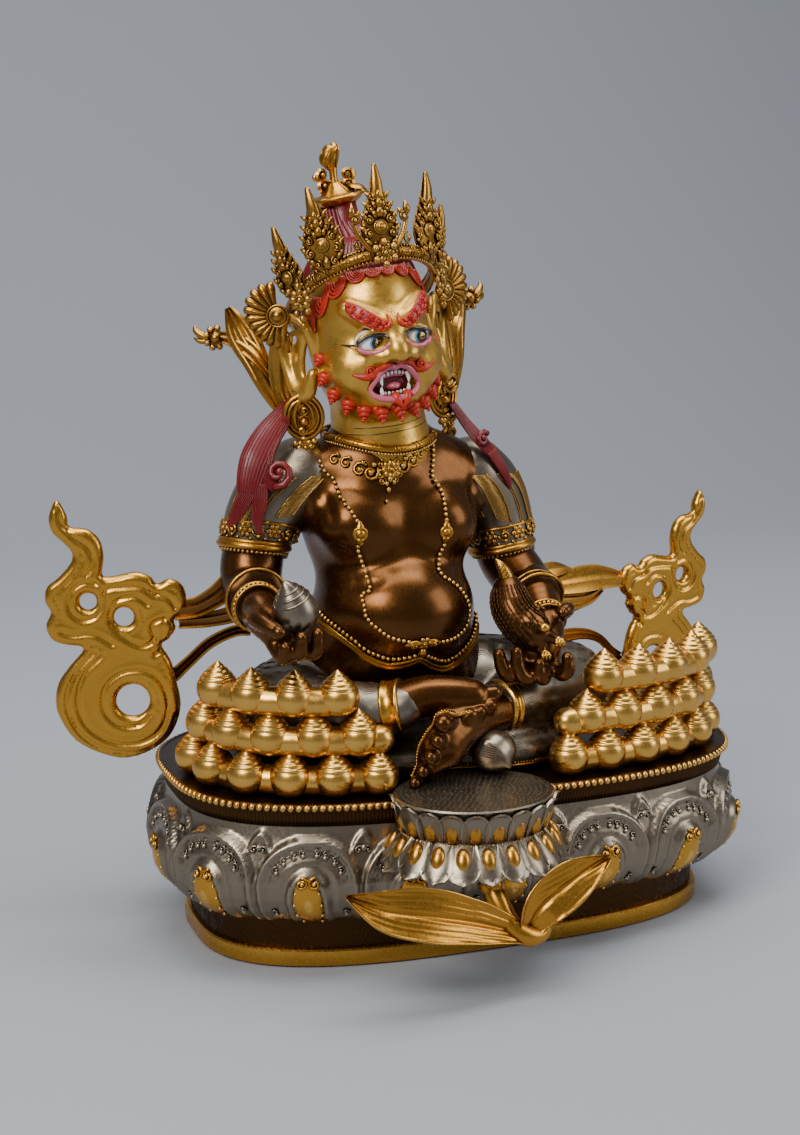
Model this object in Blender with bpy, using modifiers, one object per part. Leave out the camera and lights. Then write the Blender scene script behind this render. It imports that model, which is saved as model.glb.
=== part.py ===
"""A gilt copper statue of a seated wealth deity on an oval lotus base. Metres, +Z up, facing -Y.

The base's underside is at z = 0, with its centre at the origin. The figure sits on the base's top and
everything that leans on the figure is cut to it with one small clearance.
"""

import math

import bmesh
import bpy
from mathutils import Matrix, Vector

MM = 0.001
TOUCH_GAP = 0.0003

# Driving sizes of the lotus base
PLINTH_HALF_LENGTH = 0.150
PLINTH_HALF_DEPTH = 0.078
OUTLINE_POWER = 2.9
PLINTH_HEIGHT = 0.030
FOOT_BAND_HEIGHT = 0.010
PETAL_HEIGHT = 0.050
BASE_HEIGHT = 0.095
RIM_REACH = 0.014
PETAL_REACH = 0.025
PETAL_COUNT = 16
COLUMNS_PER_PETAL = 5

# Where the figure sits, and the tilt of its head
FIGURE_X = -0.035
FIGURE_Z = BASE_HEIGHT + TOUCH_GAP
HEAD_TILT = math.radians(7.3)
HEAD_X = -0.0085
FIGURE_LIFT = BASE_HEIGHT - 0.095
HEAD_PIVOT = Vector((HEAD_X, -0.002, 0.282))
FIGURE_VOXEL = 0.0036
FIGURE_FACES = 0.055

# Jewel heaps
JEWEL_RADIUS = 0.0108
JEWEL_PITCH = 0.0230
JEWEL_ROW_RISE = 0.0212
JEWELS_IN_BOTTOM_ROW = {-1: 6, 1: 7}
HEAP_ROWS = 3
HEAP_INSET = 0.0145
HEAP_THICKNESS = 0.010

# Scarf scrolls
SCROLL_THICKNESS = 0.006
SCROLL_SWEEP = math.radians(14)

# Crown
CROWN_TILT = math.radians(25)
CROWN_HALF_WIDTH = 0.043
CROWN_HALF_DEPTH = 0.047
CROWN_BAND = 0.0034

# Footrest
FOOTREST_X = -0.024
FOOTREST_Y = -0.098
FOOTREST_TOP = BASE_HEIGHT + 0.0045
FOOTREST_HALF_WIDTH = 0.0455
FOOTREST_PETALS = 22

# The shell that lies on the small lotus, under the arch of the foot
CONCH_X = -0.002
CONCH_Y = -0.086
CONCH_RADIUS = 0.0108


def clear_scene():
    for obj in list(bpy.data.objects):
        bpy.data.objects.remove(obj, do_unlink=True)


def new_collection(name):
    made = bpy.data.collections.new(name)
    bpy.context.scene.collection.children.link(made)
    return made


def material(name, color, roughness, metallic):
    made = bpy.data.materials.new(name)
    made.use_nodes = True
    shader = made.node_tree.nodes["Principled BSDF"]
    shader.inputs["Base Color"].default_value = (*color, 1.0)
    shader.inputs["Roughness"].default_value = roughness
    shader.inputs["Metallic"].default_value = metallic
    return made


def add_mesh(name, bm, collection, mat=None):
    bmesh.ops.recalc_face_normals(bm, faces=bm.faces)
    mesh = bpy.data.meshes.new(name)
    bm.to_mesh(mesh)
    bm.free()
    obj = bpy.data.objects.new(name, mesh)
    collection.objects.link(obj)
    if mat:
        mesh.materials.append(mat)
    mesh.shade_smooth()
    mesh.set_sharp_from_angle(angle=math.radians(38))
    return obj


def add_rings(bm, rings):
    """A closed skin over rings of equal length, with flat ends."""
    rows = [[bm.verts.new(p) for p in ring] for ring in rings]
    for low, high in zip(rows, rows[1:]):
        for i in range(len(low)):
            j = (i + 1) % len(low)
            bm.faces.new((low[i], low[j], high[j], high[i]))
    bm.faces.new(rows[0][::-1])
    bm.faces.new(rows[-1])


def add_ball(bm, centre, radii, turn=None, segments=20, rings=10):
    """An ellipsoid. turn is an optional rotation matrix."""
    matrix = Matrix.Translation(centre)
    if turn is not None:
        matrix = matrix @ turn.to_4x4()
    matrix = matrix @ Matrix.Diagonal((*radii, 1.0))
    bmesh.ops.create_uvsphere(bm, u_segments=segments, v_segments=rings, radius=1.0, matrix=matrix)


def side_axes(direction):
    """Two unit vectors square to a direction."""
    helper = Vector((0, 0, 1)) if abs(direction.z) < 0.9 else Vector((1, 0, 0))
    side = direction.cross(helper).normalized()
    return side, side.cross(direction).normalized()


def add_limb(bm, points, radii, sides=14):
    """A tube along points with its own radius at each, closed by small domes."""
    points = [Vector(p) for p in points]
    rings = []
    last = len(points) - 1
    for i, (point, radius) in enumerate(zip(points, radii)):
        along = (points[min(i + 1, last)] - points[max(i - 1, 0)]).normalized()
        side, up = side_axes(along)

        def ring(offset, share):
            centre = point + along * offset
            return [
                centre + (side * math.cos(a) + up * math.sin(a)) * radius * share
                for a in (2 * math.pi * k / sides for k in range(sides))
            ]

        if i == 0:
            rings += [ring(-radius * 0.92, 0.38), ring(-radius * 0.6, 0.8)]
        rings.append(ring(0, 1.0))
        if i == last:
            rings += [ring(radius * 0.6, 0.8), ring(radius * 0.92, 0.38)]
    add_rings(bm, rings)


def add_strip(bm, points, widths, thickness, faces):
    """A flat strip along points. faces is the direction that its broad side looks in."""
    points = [Vector(p) for p in points]
    normal = Vector(faces).normalized()
    last = len(points) - 1
    rings = []
    for i, (point, width) in enumerate(zip(points, widths)):
        along = (points[min(i + 1, last)] - points[max(i - 1, 0)]).normalized()
        across = along.cross(normal).normalized() * width / 2
        out = across.cross(along).normalized() * thickness / 2
        rings.append([point - across - out, point + across - out, point + across + out, point - across + out])
    add_rings(bm, rings)


def mirrored(points):
    return [(-x, y, z) for x, y, z in points]


def at_figure(point):
    """From the figure's own frame, in millimetres, to the object's frame."""
    return Vector((point[0] * MM + FIGURE_X, point[1] * MM, point[2] * MM + FIGURE_LIFT))


def at_head(point):
    """As at_figure, from the head's upright frame with its mid-plane at x = 0, tilted to its right."""
    place = Vector(point) * MM + Vector((HEAD_X, 0, 0)) - HEAD_PIVOT
    place.rotate(Matrix.Rotation(-HEAD_TILT, 3, "Y"))
    return place + HEAD_PIVOT + Vector((FIGURE_X, 0, FIGURE_LIFT))


def evaluated_copy(obj, name, collection):
    """The object as its modifiers leave it, as a plain mesh object."""
    graph = bpy.context.evaluated_depsgraph_get()
    mesh = bpy.data.meshes.new_from_object(obj.evaluated_get(graph))
    made = bpy.data.objects.new(name, mesh)
    made.matrix_world = obj.matrix_world
    collection.objects.link(made)
    return made


def as_cutter(obj):
    obj.hide_render = True
    obj.display_type = "WIRE"
    return obj


def cut(obj, cutter):
    """Cuts a piece back to another's clearance. The piece's own shapes may overlap each other."""
    boolean = obj.modifiers.new("cut to " + cutter.name, "BOOLEAN")
    boolean.operation = "DIFFERENCE"
    boolean.object = cutter
    boolean.solver = "EXACT"
    boolean.use_self = True


def outline_point(half_length, half_depth, angle):
    """A point of the base's rounded outline. The angle starts at the front, towards -Y."""
    c, s = math.sin(angle), -math.cos(angle)
    power = 2 / OUTLINE_POWER
    return (
        half_length * math.copysign(abs(c) ** power, c),
        half_depth * math.copysign(abs(s) ** power, s),
    )


def even_outline(count, dense=3600):
    """Outline angles spaced evenly along the petals' length, with the first at the front's middle."""
    half_length = PLINTH_HALF_LENGTH + RIM_REACH
    half_depth = PLINTH_HALF_DEPTH + RIM_REACH
    angles = [2 * math.pi * i / dense for i in range(dense + 1)]
    places = [outline_point(half_length, half_depth, a) for a in angles]
    lengths = [0.0]
    for before, after in zip(places, places[1:]):
        lengths.append(lengths[-1] + math.dist(before, after))
    found = []
    k = 0
    for i in range(count):
        goal = lengths[-1] * i / count
        while lengths[k + 1] < goal:
            k += 1
        share = (goal - lengths[k]) / max(lengths[k + 1] - lengths[k], 1e-12)
        found.append(angles[k] + share * (angles[k + 1] - angles[k]))
    return found


def petal_relief(turn, height):
    """How far a petal stands out of the band. turn is -1 to 1 across it, height 0 to 1 up it."""
    if not 0 < height < 1:
        return 0.0
    half = 0.97 * math.sqrt(max(0.0, 1 - (max(height, 0.4) - 0.4) ** 2 / 0.36))
    edge = 1 - abs(turn) / max(half, 1e-6)
    arch = min(1.0, max(0.0, edge * 4)) * 0.0065
    boss = max(0.0, 1 - (turn / 0.46) ** 2 - ((height - 0.36) / 0.34) ** 2)
    return arch + 0.0060 * math.sqrt(boss)


def base_rings(grow=0.0, petals=True):
    """The base's rings from the floor up. grow adds a clearance, for cutting."""
    top_reach = RIM_REACH - 0.004
    low = PLINTH_HEIGHT
    high = PLINTH_HEIGHT + PETAL_HEIGHT
    levels = [(0.0, 0.0), (FOOT_BAND_HEIGHT, 0.0), (FOOT_BAND_HEIGHT + 0.001, -0.003), (low - 0.001, -0.001)]
    for share in (0.02, 0.18, 0.36, 0.54, 0.74, 0.92):
        bulge = math.sin(math.pi * min(1.0, 0.18 + share * 0.70)) ** 0.8
        levels.append((low + PETAL_HEIGHT * share, (PETAL_REACH - 0.0125) * bulge))
    levels += [(high + 0.001, top_reach - 0.002), (BASE_HEIGHT - 0.0035, top_reach), (BASE_HEIGHT - 0.003, RIM_REACH)]
    levels.append((BASE_HEIGHT, RIM_REACH - 0.0008))
    if grow:
        levels[0] = (-0.01, 0.0)
        levels[-1] = (BASE_HEIGHT + grow, RIM_REACH)
    count = PETAL_COUNT * COLUMNS_PER_PETAL
    angles = even_outline(count)
    rings = []
    for z, reach in levels:
        share = (z - low) / PETAL_HEIGHT
        ring = []
        for i, angle in enumerate(angles):
            turn = ((i / COLUMNS_PER_PETAL + 0.5) % 1.0 - 0.5) * 2
            relief = petal_relief(turn, share) if petals else (0.0128 if 0 < share < 1 else 0.0)
            out = reach + relief + grow
            x, y = outline_point(PLINTH_HALF_LENGTH + out, PLINTH_HALF_DEPTH + out, angle)
            ring.append((x, y, z))
        rings.append(ring)
    return rings


def build_base(parts, mat):
    bm = bmesh.new()
    add_rings(bm, base_rings())
    return add_mesh("lotus_base", bm, parts, mat)


def add_toes(bm, places, radii, heel):
    """Round toes at places, each a short limb that starts towards the heel."""
    for place, radius in zip(places, radii):
        root = Vector(place).lerp(Vector(heel), 0.35)
        add_limb(bm, [at_figure(root), at_figure(place)], [radius * 1.1 * MM, radius * MM], sides=8)


def add_leg(bm, hip, knee, ankle, radii):
    """A folded leg under its cloth, from hip to knee and back to the ankle."""
    middle = Vector(hip).lerp(Vector(knee), 0.55) + Vector((0, 0, 2))
    add_limb(bm, [at_figure(p) for p in (hip, middle, knee)], [r * MM for r in radii[:3]])
    shin = Vector(knee).lerp(Vector(ankle), 0.5) + Vector((0, 0, 1))
    add_limb(bm, [at_figure(p) for p in (knee, shin, ankle)], [r * MM for r in radii[2:5]])


def add_hand(bm, wrist, palm, tips, finger):
    """A palm with fingers that curl to their tips."""
    add_limb(bm, [at_figure(wrist), at_figure(palm)], [0.012, 0.0135], sides=10)
    for tip in tips:
        knuckle = Vector(palm).lerp(Vector(tip), 0.5) + Vector((0, -3, -3))
        add_limb(bm, [at_figure(palm), at_figure(knuckle), at_figure(tip)], [finger * MM] * 3, sides=8)


def add_torso(bm):
    add_ball(bm, at_figure((-1, -8, 176)), (0.050, 0.048, 0.042))
    add_ball(bm, at_figure((0, 6, 140)), (0.055, 0.046, 0.036))
    add_ball(bm, at_figure((0, 5, 218)), (0.057, 0.037, 0.046))
    add_ball(bm, at_figure((-3, 8, 252)), (0.060, 0.030, 0.024))
    for side in (-1, 1):
        add_ball(bm, at_figure((side * 25, -16, 226)), (0.028, 0.019, 0.018))
    neck = [at_figure((-3, 4, 246)), at_figure((-6, 0, 266)), at_head((0, -3, 292))]
    add_limb(bm, neck, [0.036, 0.034, 0.030])


def add_head(bm):
    add_ball(bm, at_head((0, 1, 338)), (0.038, 0.044, 0.046))
    add_ball(bm, at_head((0, -12, 309)), (0.0355, 0.033, 0.027))
    add_ball(bm, at_head((0, -50, 320)), (0.0095, 0.010, 0.010), segments=12, rings=6)
    for side in (-1, 1):
        add_ball(bm, at_head((side * 20, -32, 314)), (0.014, 0.014, 0.014), segments=12, rings=6)
        add_ball(bm, at_head((side * 16, -39, 338)), (0.014, 0.007, 0.006), segments=10, rings=6)
        ear = [(side * 40, 3, 342), (side * 44, 6, 324), (side * 41, 2, 303)]
        add_limb(bm, [at_head(p) for p in ear], [0.008, 0.009, 0.006], sides=8)
    for k in range(13):
        turn = math.pi * (k / 12 - 0.5) * 1.12
        drop = math.cos(turn) * 20
        place = (36 * math.sin(turn), -10 - 31 * math.cos(turn), 310 - drop)
        add_ball(bm, at_head(place), (0.0055, 0.0055, 0.0055), segments=8, rings=5)


ARMS = {
    -1: [(-58, 8, 244), (-69, 11, 220), (-77, 8, 192), (-86, -36, 194)],
    1: [(57, 8, 242), (67, 12, 214), (72, 10, 188), (78, -28, 182)],
}
ARM_RADII = (0.0235, 0.0235, 0.0195, 0.0125)


def add_arm(bm, side):
    """One arm with its sleeve, arm ring and wrist ring. side is -1 for the statue's right."""
    points = [at_figure(p) for p in ARMS[side]]
    add_limb(bm, points[:3], ARM_RADII[:3])
    add_limb(bm, points[2:], ARM_RADII[2:])
    ring = points[1].lerp(points[2], 0.30)
    along = (points[2] - points[1]).normalized() * 0.003
    add_limb(bm, [ring - along, ring + along], [0.0245, 0.0245])
    wrist = points[2].lerp(points[3], 0.82)
    along = (points[3] - points[2]).normalized() * 0.002
    add_limb(bm, [wrist - along, wrist + along], [0.0152, 0.0152])
    return ARMS[side][3]


def add_shoulder_locks(bm, side):
    """The strands of red hair that fall over one shoulder."""
    strands = [
        [(40, 18, 272), (62, 6, 267), (78, -4, 252), (84, -10, 228), (82, -14, 210)],
        [(44, 8, 270), (60, -10, 262), (70, -20, 246), (68, -24, 232)],
    ]
    for strand in strands:
        points = [at_figure((side * x, y, z)) for x, y, z in strand]
        add_limb(bm, points, [0.005, 0.007, 0.007, 0.006, 0.003][: len(points)], sides=8)


def build_figure(parts, cutters, mat):
    """The whole figure, cast as one: body, head, arms, crossed legs and cloth."""
    bm = bmesh.new()
    add_torso(bm)
    add_head(bm)
    right_wrist = add_arm(bm, -1)
    left_wrist = add_arm(bm, 1)
    add_hand(bm, right_wrist, (-80, -56, 184), [(-86, -75, 182), (-70, -74, 173), (-62, -70, 174)], 5.0)
    add_hand(bm, left_wrist, (68, -52, 162), [(42, -62, 158), (48, -70, 160), (60, -76, 154), (78, -62, 170)], 5.0)
    add_leg(bm, (-28, 8, 118), (-72, -20, 128), (-20, -57, 125), (33, 31, 25, 21, 16))
    add_leg(bm, (28, 8, 118), (104, -18, 124), (44, -54, 120), (33, 32, 27, 22, 17))
    add_ball(bm, at_figure((0, 14, 104)), (0.092, 0.052, 0.024))
    add_limb(bm, [at_figure(p) for p in ((-26, -58, 128), (0, -64, 133), (20, -68, 137))], [0.013, 0.0115, 0.009])
    add_toes(bm, [(34, -70, 141), (26, -75, 134)], (5.5, 5.0), (0, -60, 133))
    add_limb(bm, [at_figure(p) for p in ((44, -56, 118), (22, -68, 117), (2, -76, 120))], [0.014, 0.013, 0.013])
    toes = [(-3, -86, 134), (-6, -88, 124), (-10, -88, 115), (-15, -87, 109), (-20, -84, 105)]
    add_toes(bm, toes, (6.5, 5.6, 5.2, 4.8, 4.2), (8, -70, 118))
    for side in (-1, 1):
        add_shoulder_locks(bm, side)
    figure = add_mesh("figure", bm, parts, mat)
    remesh = figure.modifiers.new("one skin", "REMESH")
    remesh.mode = "VOXEL"
    remesh.voxel_size = FIGURE_VOXEL
    smooth = figure.modifiers.new("soften joins", "SMOOTH")
    smooth.factor = 0.5
    smooth.iterations = 2
    fewer = figure.modifiers.new("fewer faces", "DECIMATE")
    fewer.ratio = FIGURE_FACES
    seat = bmesh.new()
    centre = Matrix.Translation((FIGURE_X, 0, FIGURE_Z - 0.05))
    bmesh.ops.create_cube(seat, size=1.0, matrix=centre @ Matrix.Diagonal((0.5, 0.5, 0.1, 1)))
    seat_cutter = as_cutter(add_mesh("seat plane", seat, cutters))
    cut(figure, seat_cutter)
    return figure


def clearance_of(obj, collection):
    """A copy of a finished piece, grown by the gap that touching pieces keep."""
    copy = as_cutter(evaluated_copy(obj, obj.name + " clearance", collection))
    grow = copy.modifiers.new("grow", "DISPLACE")
    grow.mid_level = 0.0
    grow.strength = TOUCH_GAP * 1.6
    return copy


def add_jewel(bm, centre, radius, sides=6):
    """A pear-shaped jewel with its tip up."""
    profile = [(-0.88, 0.50), (-0.30, 0.98), (0.45, 0.90), (1.42, 0.18)]
    rings = []
    for level, share in profile:
        rings.append([
            (
                centre[0] + radius * share * math.cos(2 * math.pi * k / sides),
                centre[1] + radius * share * math.sin(2 * math.pi * k / sides),
                centre[2] + radius * level,
            )
            for k in range(sides)
        ])
    add_rings(bm, rings)


def heap_path(side, start, inset):
    """Points along the base's rim, from a start on the front round to the end, a pitch apart."""
    half_length = PLINTH_HALF_LENGTH + RIM_REACH - inset
    half_depth = PLINTH_HALF_DEPTH + RIM_REACH - inset
    steps = 900
    places = [outline_point(half_length, half_depth, math.pi * i / steps) for i in range(steps + 1)]
    places = [p for p in places if p[0] >= start]
    path = [places[0]]
    for place in places:
        if math.dist(place, path[-1]) >= JEWEL_PITCH:
            path.append(place)
    return [Vector((side * x, y, 0)) for x, y in path]


def heap_start(side):
    """How far from the middle a heap's inner end stands. The figure's right heap starts further out."""
    return 0.068 if side < 0 else 0.040


def heap_end_space(collection):
    """Room for the heaps' inner ends, where the small lotus reaches under them."""
    bm = bmesh.new()
    for side in (-1, 1):
        x, y, _ = heap_path(side, heap_start(side), HEAP_INSET)[0]
        rings = []
        for z in (BASE_HEIGHT - 0.02, BASE_HEIGHT + 0.03):
            rings.append([
                (x + JEWEL_RADIUS * 1.08 * math.cos(a), y + JEWEL_RADIUS * 1.08 * math.sin(a), z)
                for a in (2 * math.pi * k / 16 for k in range(16))
            ])
        add_rings(bm, rings)
    return as_cutter(add_mesh("heap ends", bm, collection))


def build_heap(name, side, parts, mat):
    """A curved wall of jewels in rows, each row half a jewel further round than the one below."""
    bm = bmesh.new()
    path = heap_path(side, heap_start(side), HEAP_INSET)
    count = JEWELS_IN_BOTTOM_ROW[side]
    jewels = []
    for row in range(HEAP_ROWS):
        z = FIGURE_Z + JEWEL_RADIUS * 0.9 + row * JEWEL_ROW_RISE
        for i in range(count - row):
            here = path[i].lerp(path[i + 1], row * 0.5 % 1) if row % 2 else path[i + row // 2]
            centre = Vector((here.x, here.y, z))
            inward = Vector((-here.x, -here.y, 0)).normalized() * 0.0015 * row
            jewels.append(centre + inward)
    wall = bmesh.new()
    inner = heap_path(side, heap_start(side), HEAP_INSET + HEAP_THICKNESS)
    outer = path[: count]
    inner = [min(inner, key=lambda q, p=p: (q - p).length) for p in outer]
    rings = []
    for p, q, z in ((p, q, FIGURE_Z) for p, q in zip(outer, inner)):
        share = outer.index(p) / (count - 1)
        rise = JEWEL_ROW_RISE * (HEAP_ROWS - 1) * min(1.0, 0.25 + share * 4, 0.25 + (1 - share) * 4)
        high = Vector((0, 0, z + rise + JEWEL_RADIUS))
        low = Vector((0, 0, z))
        rings.append([p + low, q + low, q + high, p + high])
    add_rings(wall, rings)
    heap = add_mesh(name, wall, parts, mat)
    for centre in jewels:
        add_jewel(bm, centre, JEWEL_RADIUS)
    return heap, bm


SCROLL_OUTLINE = [
    (-38, 112), (-33, 103), (-32, 97), (-23, 96), (-16, 90), (-14, 80), (-15, 70), (-8, 70), (3, 72), (11, 69),
    (14, 65), (21, 68), (28, 64), (30, 56), (28, 49), (23, 45), (24, 40), (20, 34), (16, 31), (21, 22), (24, 10),
    (26, -4), (21, -19), (11, -28), (-4, -33), (-18, -30), (-32, -22), (-40, -9), (-42, 0), (-40, 11), (-33, 21),
    (-26, 30), (-36, 32), (-43, 35), (-46, 43), (-43, 50), (-46, 56), (-45, 64), (-39, 69), (-32, 77), (-31, 83),
    (-36, 89), (-41, 94), (-43, 101), (-41, 108),
]
SCROLL_HOLES = [(0, 0, 9.0), (-23, 56, 4.6), (-4, 47, 5.3)]
SCROLL_HOLE_X = {-1: -0.175, 1: 0.144}
SCROLL_HOLE_Y = 0.027
SCROLL_SIZE = {-1: 1.0, 1: 0.90}
SCROLL_FOOT = 33.4


def rounded(points):
    """The closed outline with a point added midway along each side, on a smooth curve."""
    made = []
    count = len(points)
    for i, here in enumerate(points):
        before, after, later = points[i - 1], points[(i + 1) % count], points[(i + 2) % count]
        made.append(here)
        made.append(tuple((9 * (b + c) - a - d) / 16 for a, b, c, d in zip(before, here, after, later)))
    return made


def add_spline(curve, points):
    spline = curve.splines.new("POLY")
    spline.points.add(len(points) - 1)
    for target, (x, y) in zip(spline.points, points):
        target.co = (x * MM, y * MM, 0, 1)
    spline.use_cyclic_u = True


def build_scroll(name, side, parts, mat):
    """A flat cloud-and-flame scroll that ends the scarf, on a plane that sweeps back outwards."""
    curve = bpy.data.curves.new(name + " outline", "CURVE")
    curve.dimensions = "2D"
    curve.fill_mode = "BOTH"
    curve.extrude = SCROLL_THICKNESS / 2
    add_spline(curve, rounded(SCROLL_OUTLINE))
    for x, y, radius in SCROLL_HOLES:
        turns = [2 * math.pi * k / 12 for k in range(12)]
        add_spline(curve, [(x + radius * math.cos(a), y + radius * math.sin(a)) for a in turns])
    flat = bpy.data.objects.new(name + " flat", curve)
    parts.objects.link(flat)
    bpy.context.view_layer.update()
    solid = evaluated_copy(flat, name, parts)
    bpy.data.objects.remove(flat, do_unlink=True)
    bm = bmesh.new()
    bm.from_mesh(solid.data)
    bmesh.ops.remove_doubles(bm, verts=bm.verts, dist=0.00005)
    stand = Matrix.Rotation(math.radians(90), 4, "X")
    stand = Matrix.Diagonal((-side * SCROLL_SIZE[side], 1, SCROLL_SIZE[side], 1)) @ stand
    sweep = Matrix.Rotation(side * SCROLL_SWEEP, 4, "Z")
    place = Matrix.Translation(scroll_hole(side))
    bmesh.ops.transform(bm, matrix=place @ sweep @ stand, verts=bm.verts)
    bmesh.ops.recalc_face_normals(bm, faces=bm.faces)
    bm.to_mesh(solid.data)
    bm.free()
    solid.data.materials.append(mat)
    return solid


def scroll_hole(side):
    """The middle of a scroll's round hole. The scroll's lowest edge clears the base's top."""
    return Vector((SCROLL_HOLE_X[side], SCROLL_HOLE_Y, BASE_HEIGHT + SCROLL_FOOT * SCROLL_SIZE[side] * MM))


def scarf_strips(side):
    """The two free stretches of scarf between an arm and its scroll."""
    bm = bmesh.new()
    hole = scroll_hole(side)
    cloud = hole + Vector((-side * 0.020, -0.005, 0.050)) * SCROLL_SIZE[side]
    curl = hole + Vector((-side * 0.017, -0.005, 0.012)) * SCROLL_SIZE[side]
    arm = at_figure((-92, 8, 196)) if side < 0 else at_figure((86, 6, 190))
    hip = at_figure((side * 86, 16, 140))
    middle = (cloud + arm) / 2 + Vector((0, 0.010, -0.006))
    add_strip(bm, [cloud, middle, arm], [0.014, 0.019, 0.012], 0.004, (0, -0.5, 1))
    sag = (curl + hip) / 2 + Vector((0, 0.004, -0.003))
    add_strip(bm, [curl, sag, hip], [0.015, 0.010, 0.008], 0.004, (0, -1, 0.6))
    return bm


def crown_point(turn, out, up):
    """A place on the crown. turn is the angle from the front, out from the band, up square to it."""
    flat = Vector((
        (CROWN_HALF_WIDTH + out) * math.sin(turn),
        -(CROWN_HALF_DEPTH + out) * math.cos(turn),
        up,
    ))
    flat.rotate(Matrix.Rotation(-CROWN_TILT, 3, "X"))
    return at_head(flat / MM + Vector((0, 0, 346)))


def add_crown_leaf(bm, turn, height, width):
    """A pointed leaf that stands on the band and leans out a little."""
    rings = []
    for share, spread in ((0.0, 0.62), (0.14, 0.92), (0.34, 1.0), (0.5, 0.84), (0.66, 0.54), (0.84, 0.25), (1.0, 0.05)):
        half = width / 2 * spread
        out = 0.003 + 0.010 * share * share
        thick = 0.0022 * (1 - 0.6 * share)
        step = half / CROWN_HALF_WIDTH
        up = height * share
        rings.append([
            crown_point(turn - step, out, up),
            crown_point(turn, out + thick * 1.5, up),
            crown_point(turn + step, out, up),
            crown_point(turn, out - thick, up),
        ])
    add_rings(bm, rings)


def build_crown(parts, mat):
    """The crown: a band round the head with five leaves, a fan and a flying ribbon at each ear."""
    bm = bmesh.new()
    count = 40
    rings = []
    for k in range(count):
        turn = 2 * math.pi * k / count
        rings.append([
            crown_point(turn, CROWN_BAND * math.cos(a), CROWN_BAND * 1.25 * math.sin(a))
            for a in (2 * math.pi * j / 6 for j in range(6))
        ])
    rows = [[bm.verts.new(p) for p in ring] for ring in rings]
    for k, row in enumerate(rows):
        after = rows[(k + 1) % count]
        for j in range(6):
            bm.faces.new((row[j], row[(j + 1) % 6], after[(j + 1) % 6], after[j]))
    band = add_mesh("crown", bm, parts, mat)
    leaves = bmesh.new()
    for turn, height, width in ((0, 56, 32), (-41, 50, 26), (41, 50, 26), (-79, 48, 24), (79, 48, 24)):
        add_crown_leaf(leaves, math.radians(turn), height * MM, width * MM)
    for side in (-1, 1):
        fan = [(side * 48, 15, 312), (side * 52, 13, 333), (side * 50, 11, 348)]
        add_strip(leaves, [at_head(p) for p in fan], [0.010, 0.024, 0.012], 0.005, (side * 0.4, -1, 0))
        ribbon = [(42, 10, 292), (47, 12, 300), (50, 17, 315), (56, 30, 333), (64, 39, 350)]
        points = [at_head((side * x, y, z)) for x, y, z in ribbon]
        add_strip(leaves, points, [0.012, 0.013, 0.015, 0.020, 0.004], 0.005, (0, -1, 0))
        add_ball(leaves, at_head((side * 80, 43, 338)), (0.007, 0.006, 0.007), segments=8, rings=6)
        petals = [at_head((side * 56, 32, 332)), at_head((side * 90, 45, 338))]
        add_limb(leaves, petals, [0.0055, 0.0030], 6)
    return band, leaves


def build_topknot(parts, mat):
    """The knot of hair above the crown, with its jewelled finial."""
    bm = bmesh.new()
    add_limb(bm, [at_head((0, 10, 366)), at_head((0, 17, 390))], [0.020, 0.014], 12)
    add_ball(bm, at_head((0, 18, 401)), (0.017, 0.011, 0.009), segments=12, rings=6)
    add_limb(bm, [at_head((-1, 18, 405)), at_head((-2, 18, 418)), at_head((-3, 18, 429))], [0.010, 0.008, 0.003], 8)
    return add_mesh("topknot", bm, parts, mat)


def build_earring(name, side, parts, mat):
    bm = bmesh.new()
    x = side * 42
    turn = Matrix.Rotation(side * math.radians(35), 3, "Z")
    add_ball(bm, at_head((x, -4, 289)), (0.0118, 0.0045, 0.0135), turn, 14, 8)
    add_ball(bm, at_head((x, -6, 271)), (0.0085, 0.004, 0.0075), turn, 10, 6)
    add_limb(bm, [at_head((x, -6, 268)), at_head((x, -7, 260))], [0.0045, 0.002], 8)
    return add_mesh(name, bm, parts, mat)


def footrest_ring(half_width, half_depth, z, wave, sides):
    """An oval ring of the small lotus. wave pushes each petal out of the ring."""
    ring = []
    for k in range(sides):
        angle = 2 * math.pi * k / sides
        push = 1 + wave * (1 if k % 2 else -1)
        ring.append((
            FOOTREST_X + half_width * push * math.cos(angle),
            FOOTREST_Y + half_depth * push * math.sin(angle),
            z,
        ))
    return ring


def build_footrest(parts, mat):
    """The small double lotus for the foot, cut to the base where it meets it."""
    bm = bmesh.new()
    width = FOOTREST_HALF_WIDTH
    depth = width * 0.80
    sides = FOOTREST_PETALS * 2
    top = FOOTREST_TOP
    levels = [
        (0.52, top - 0.040, 0.0), (1.16, top - 0.0400, 0.03), (1.20, top - 0.037, 0.03), (1.02, top - 0.026, 0.02),
        (0.86, top - 0.0195, 0.0), (0.93, top - 0.010, 0.02), (1.0, top - 0.001, 0.03), (0.93, top, 0.0),
    ]
    add_rings(bm, [footrest_ring(width * s, depth * s, z, wave, sides) for s, z, wave in levels])
    return add_mesh("footrest_lotus", bm, parts, mat)


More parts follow.
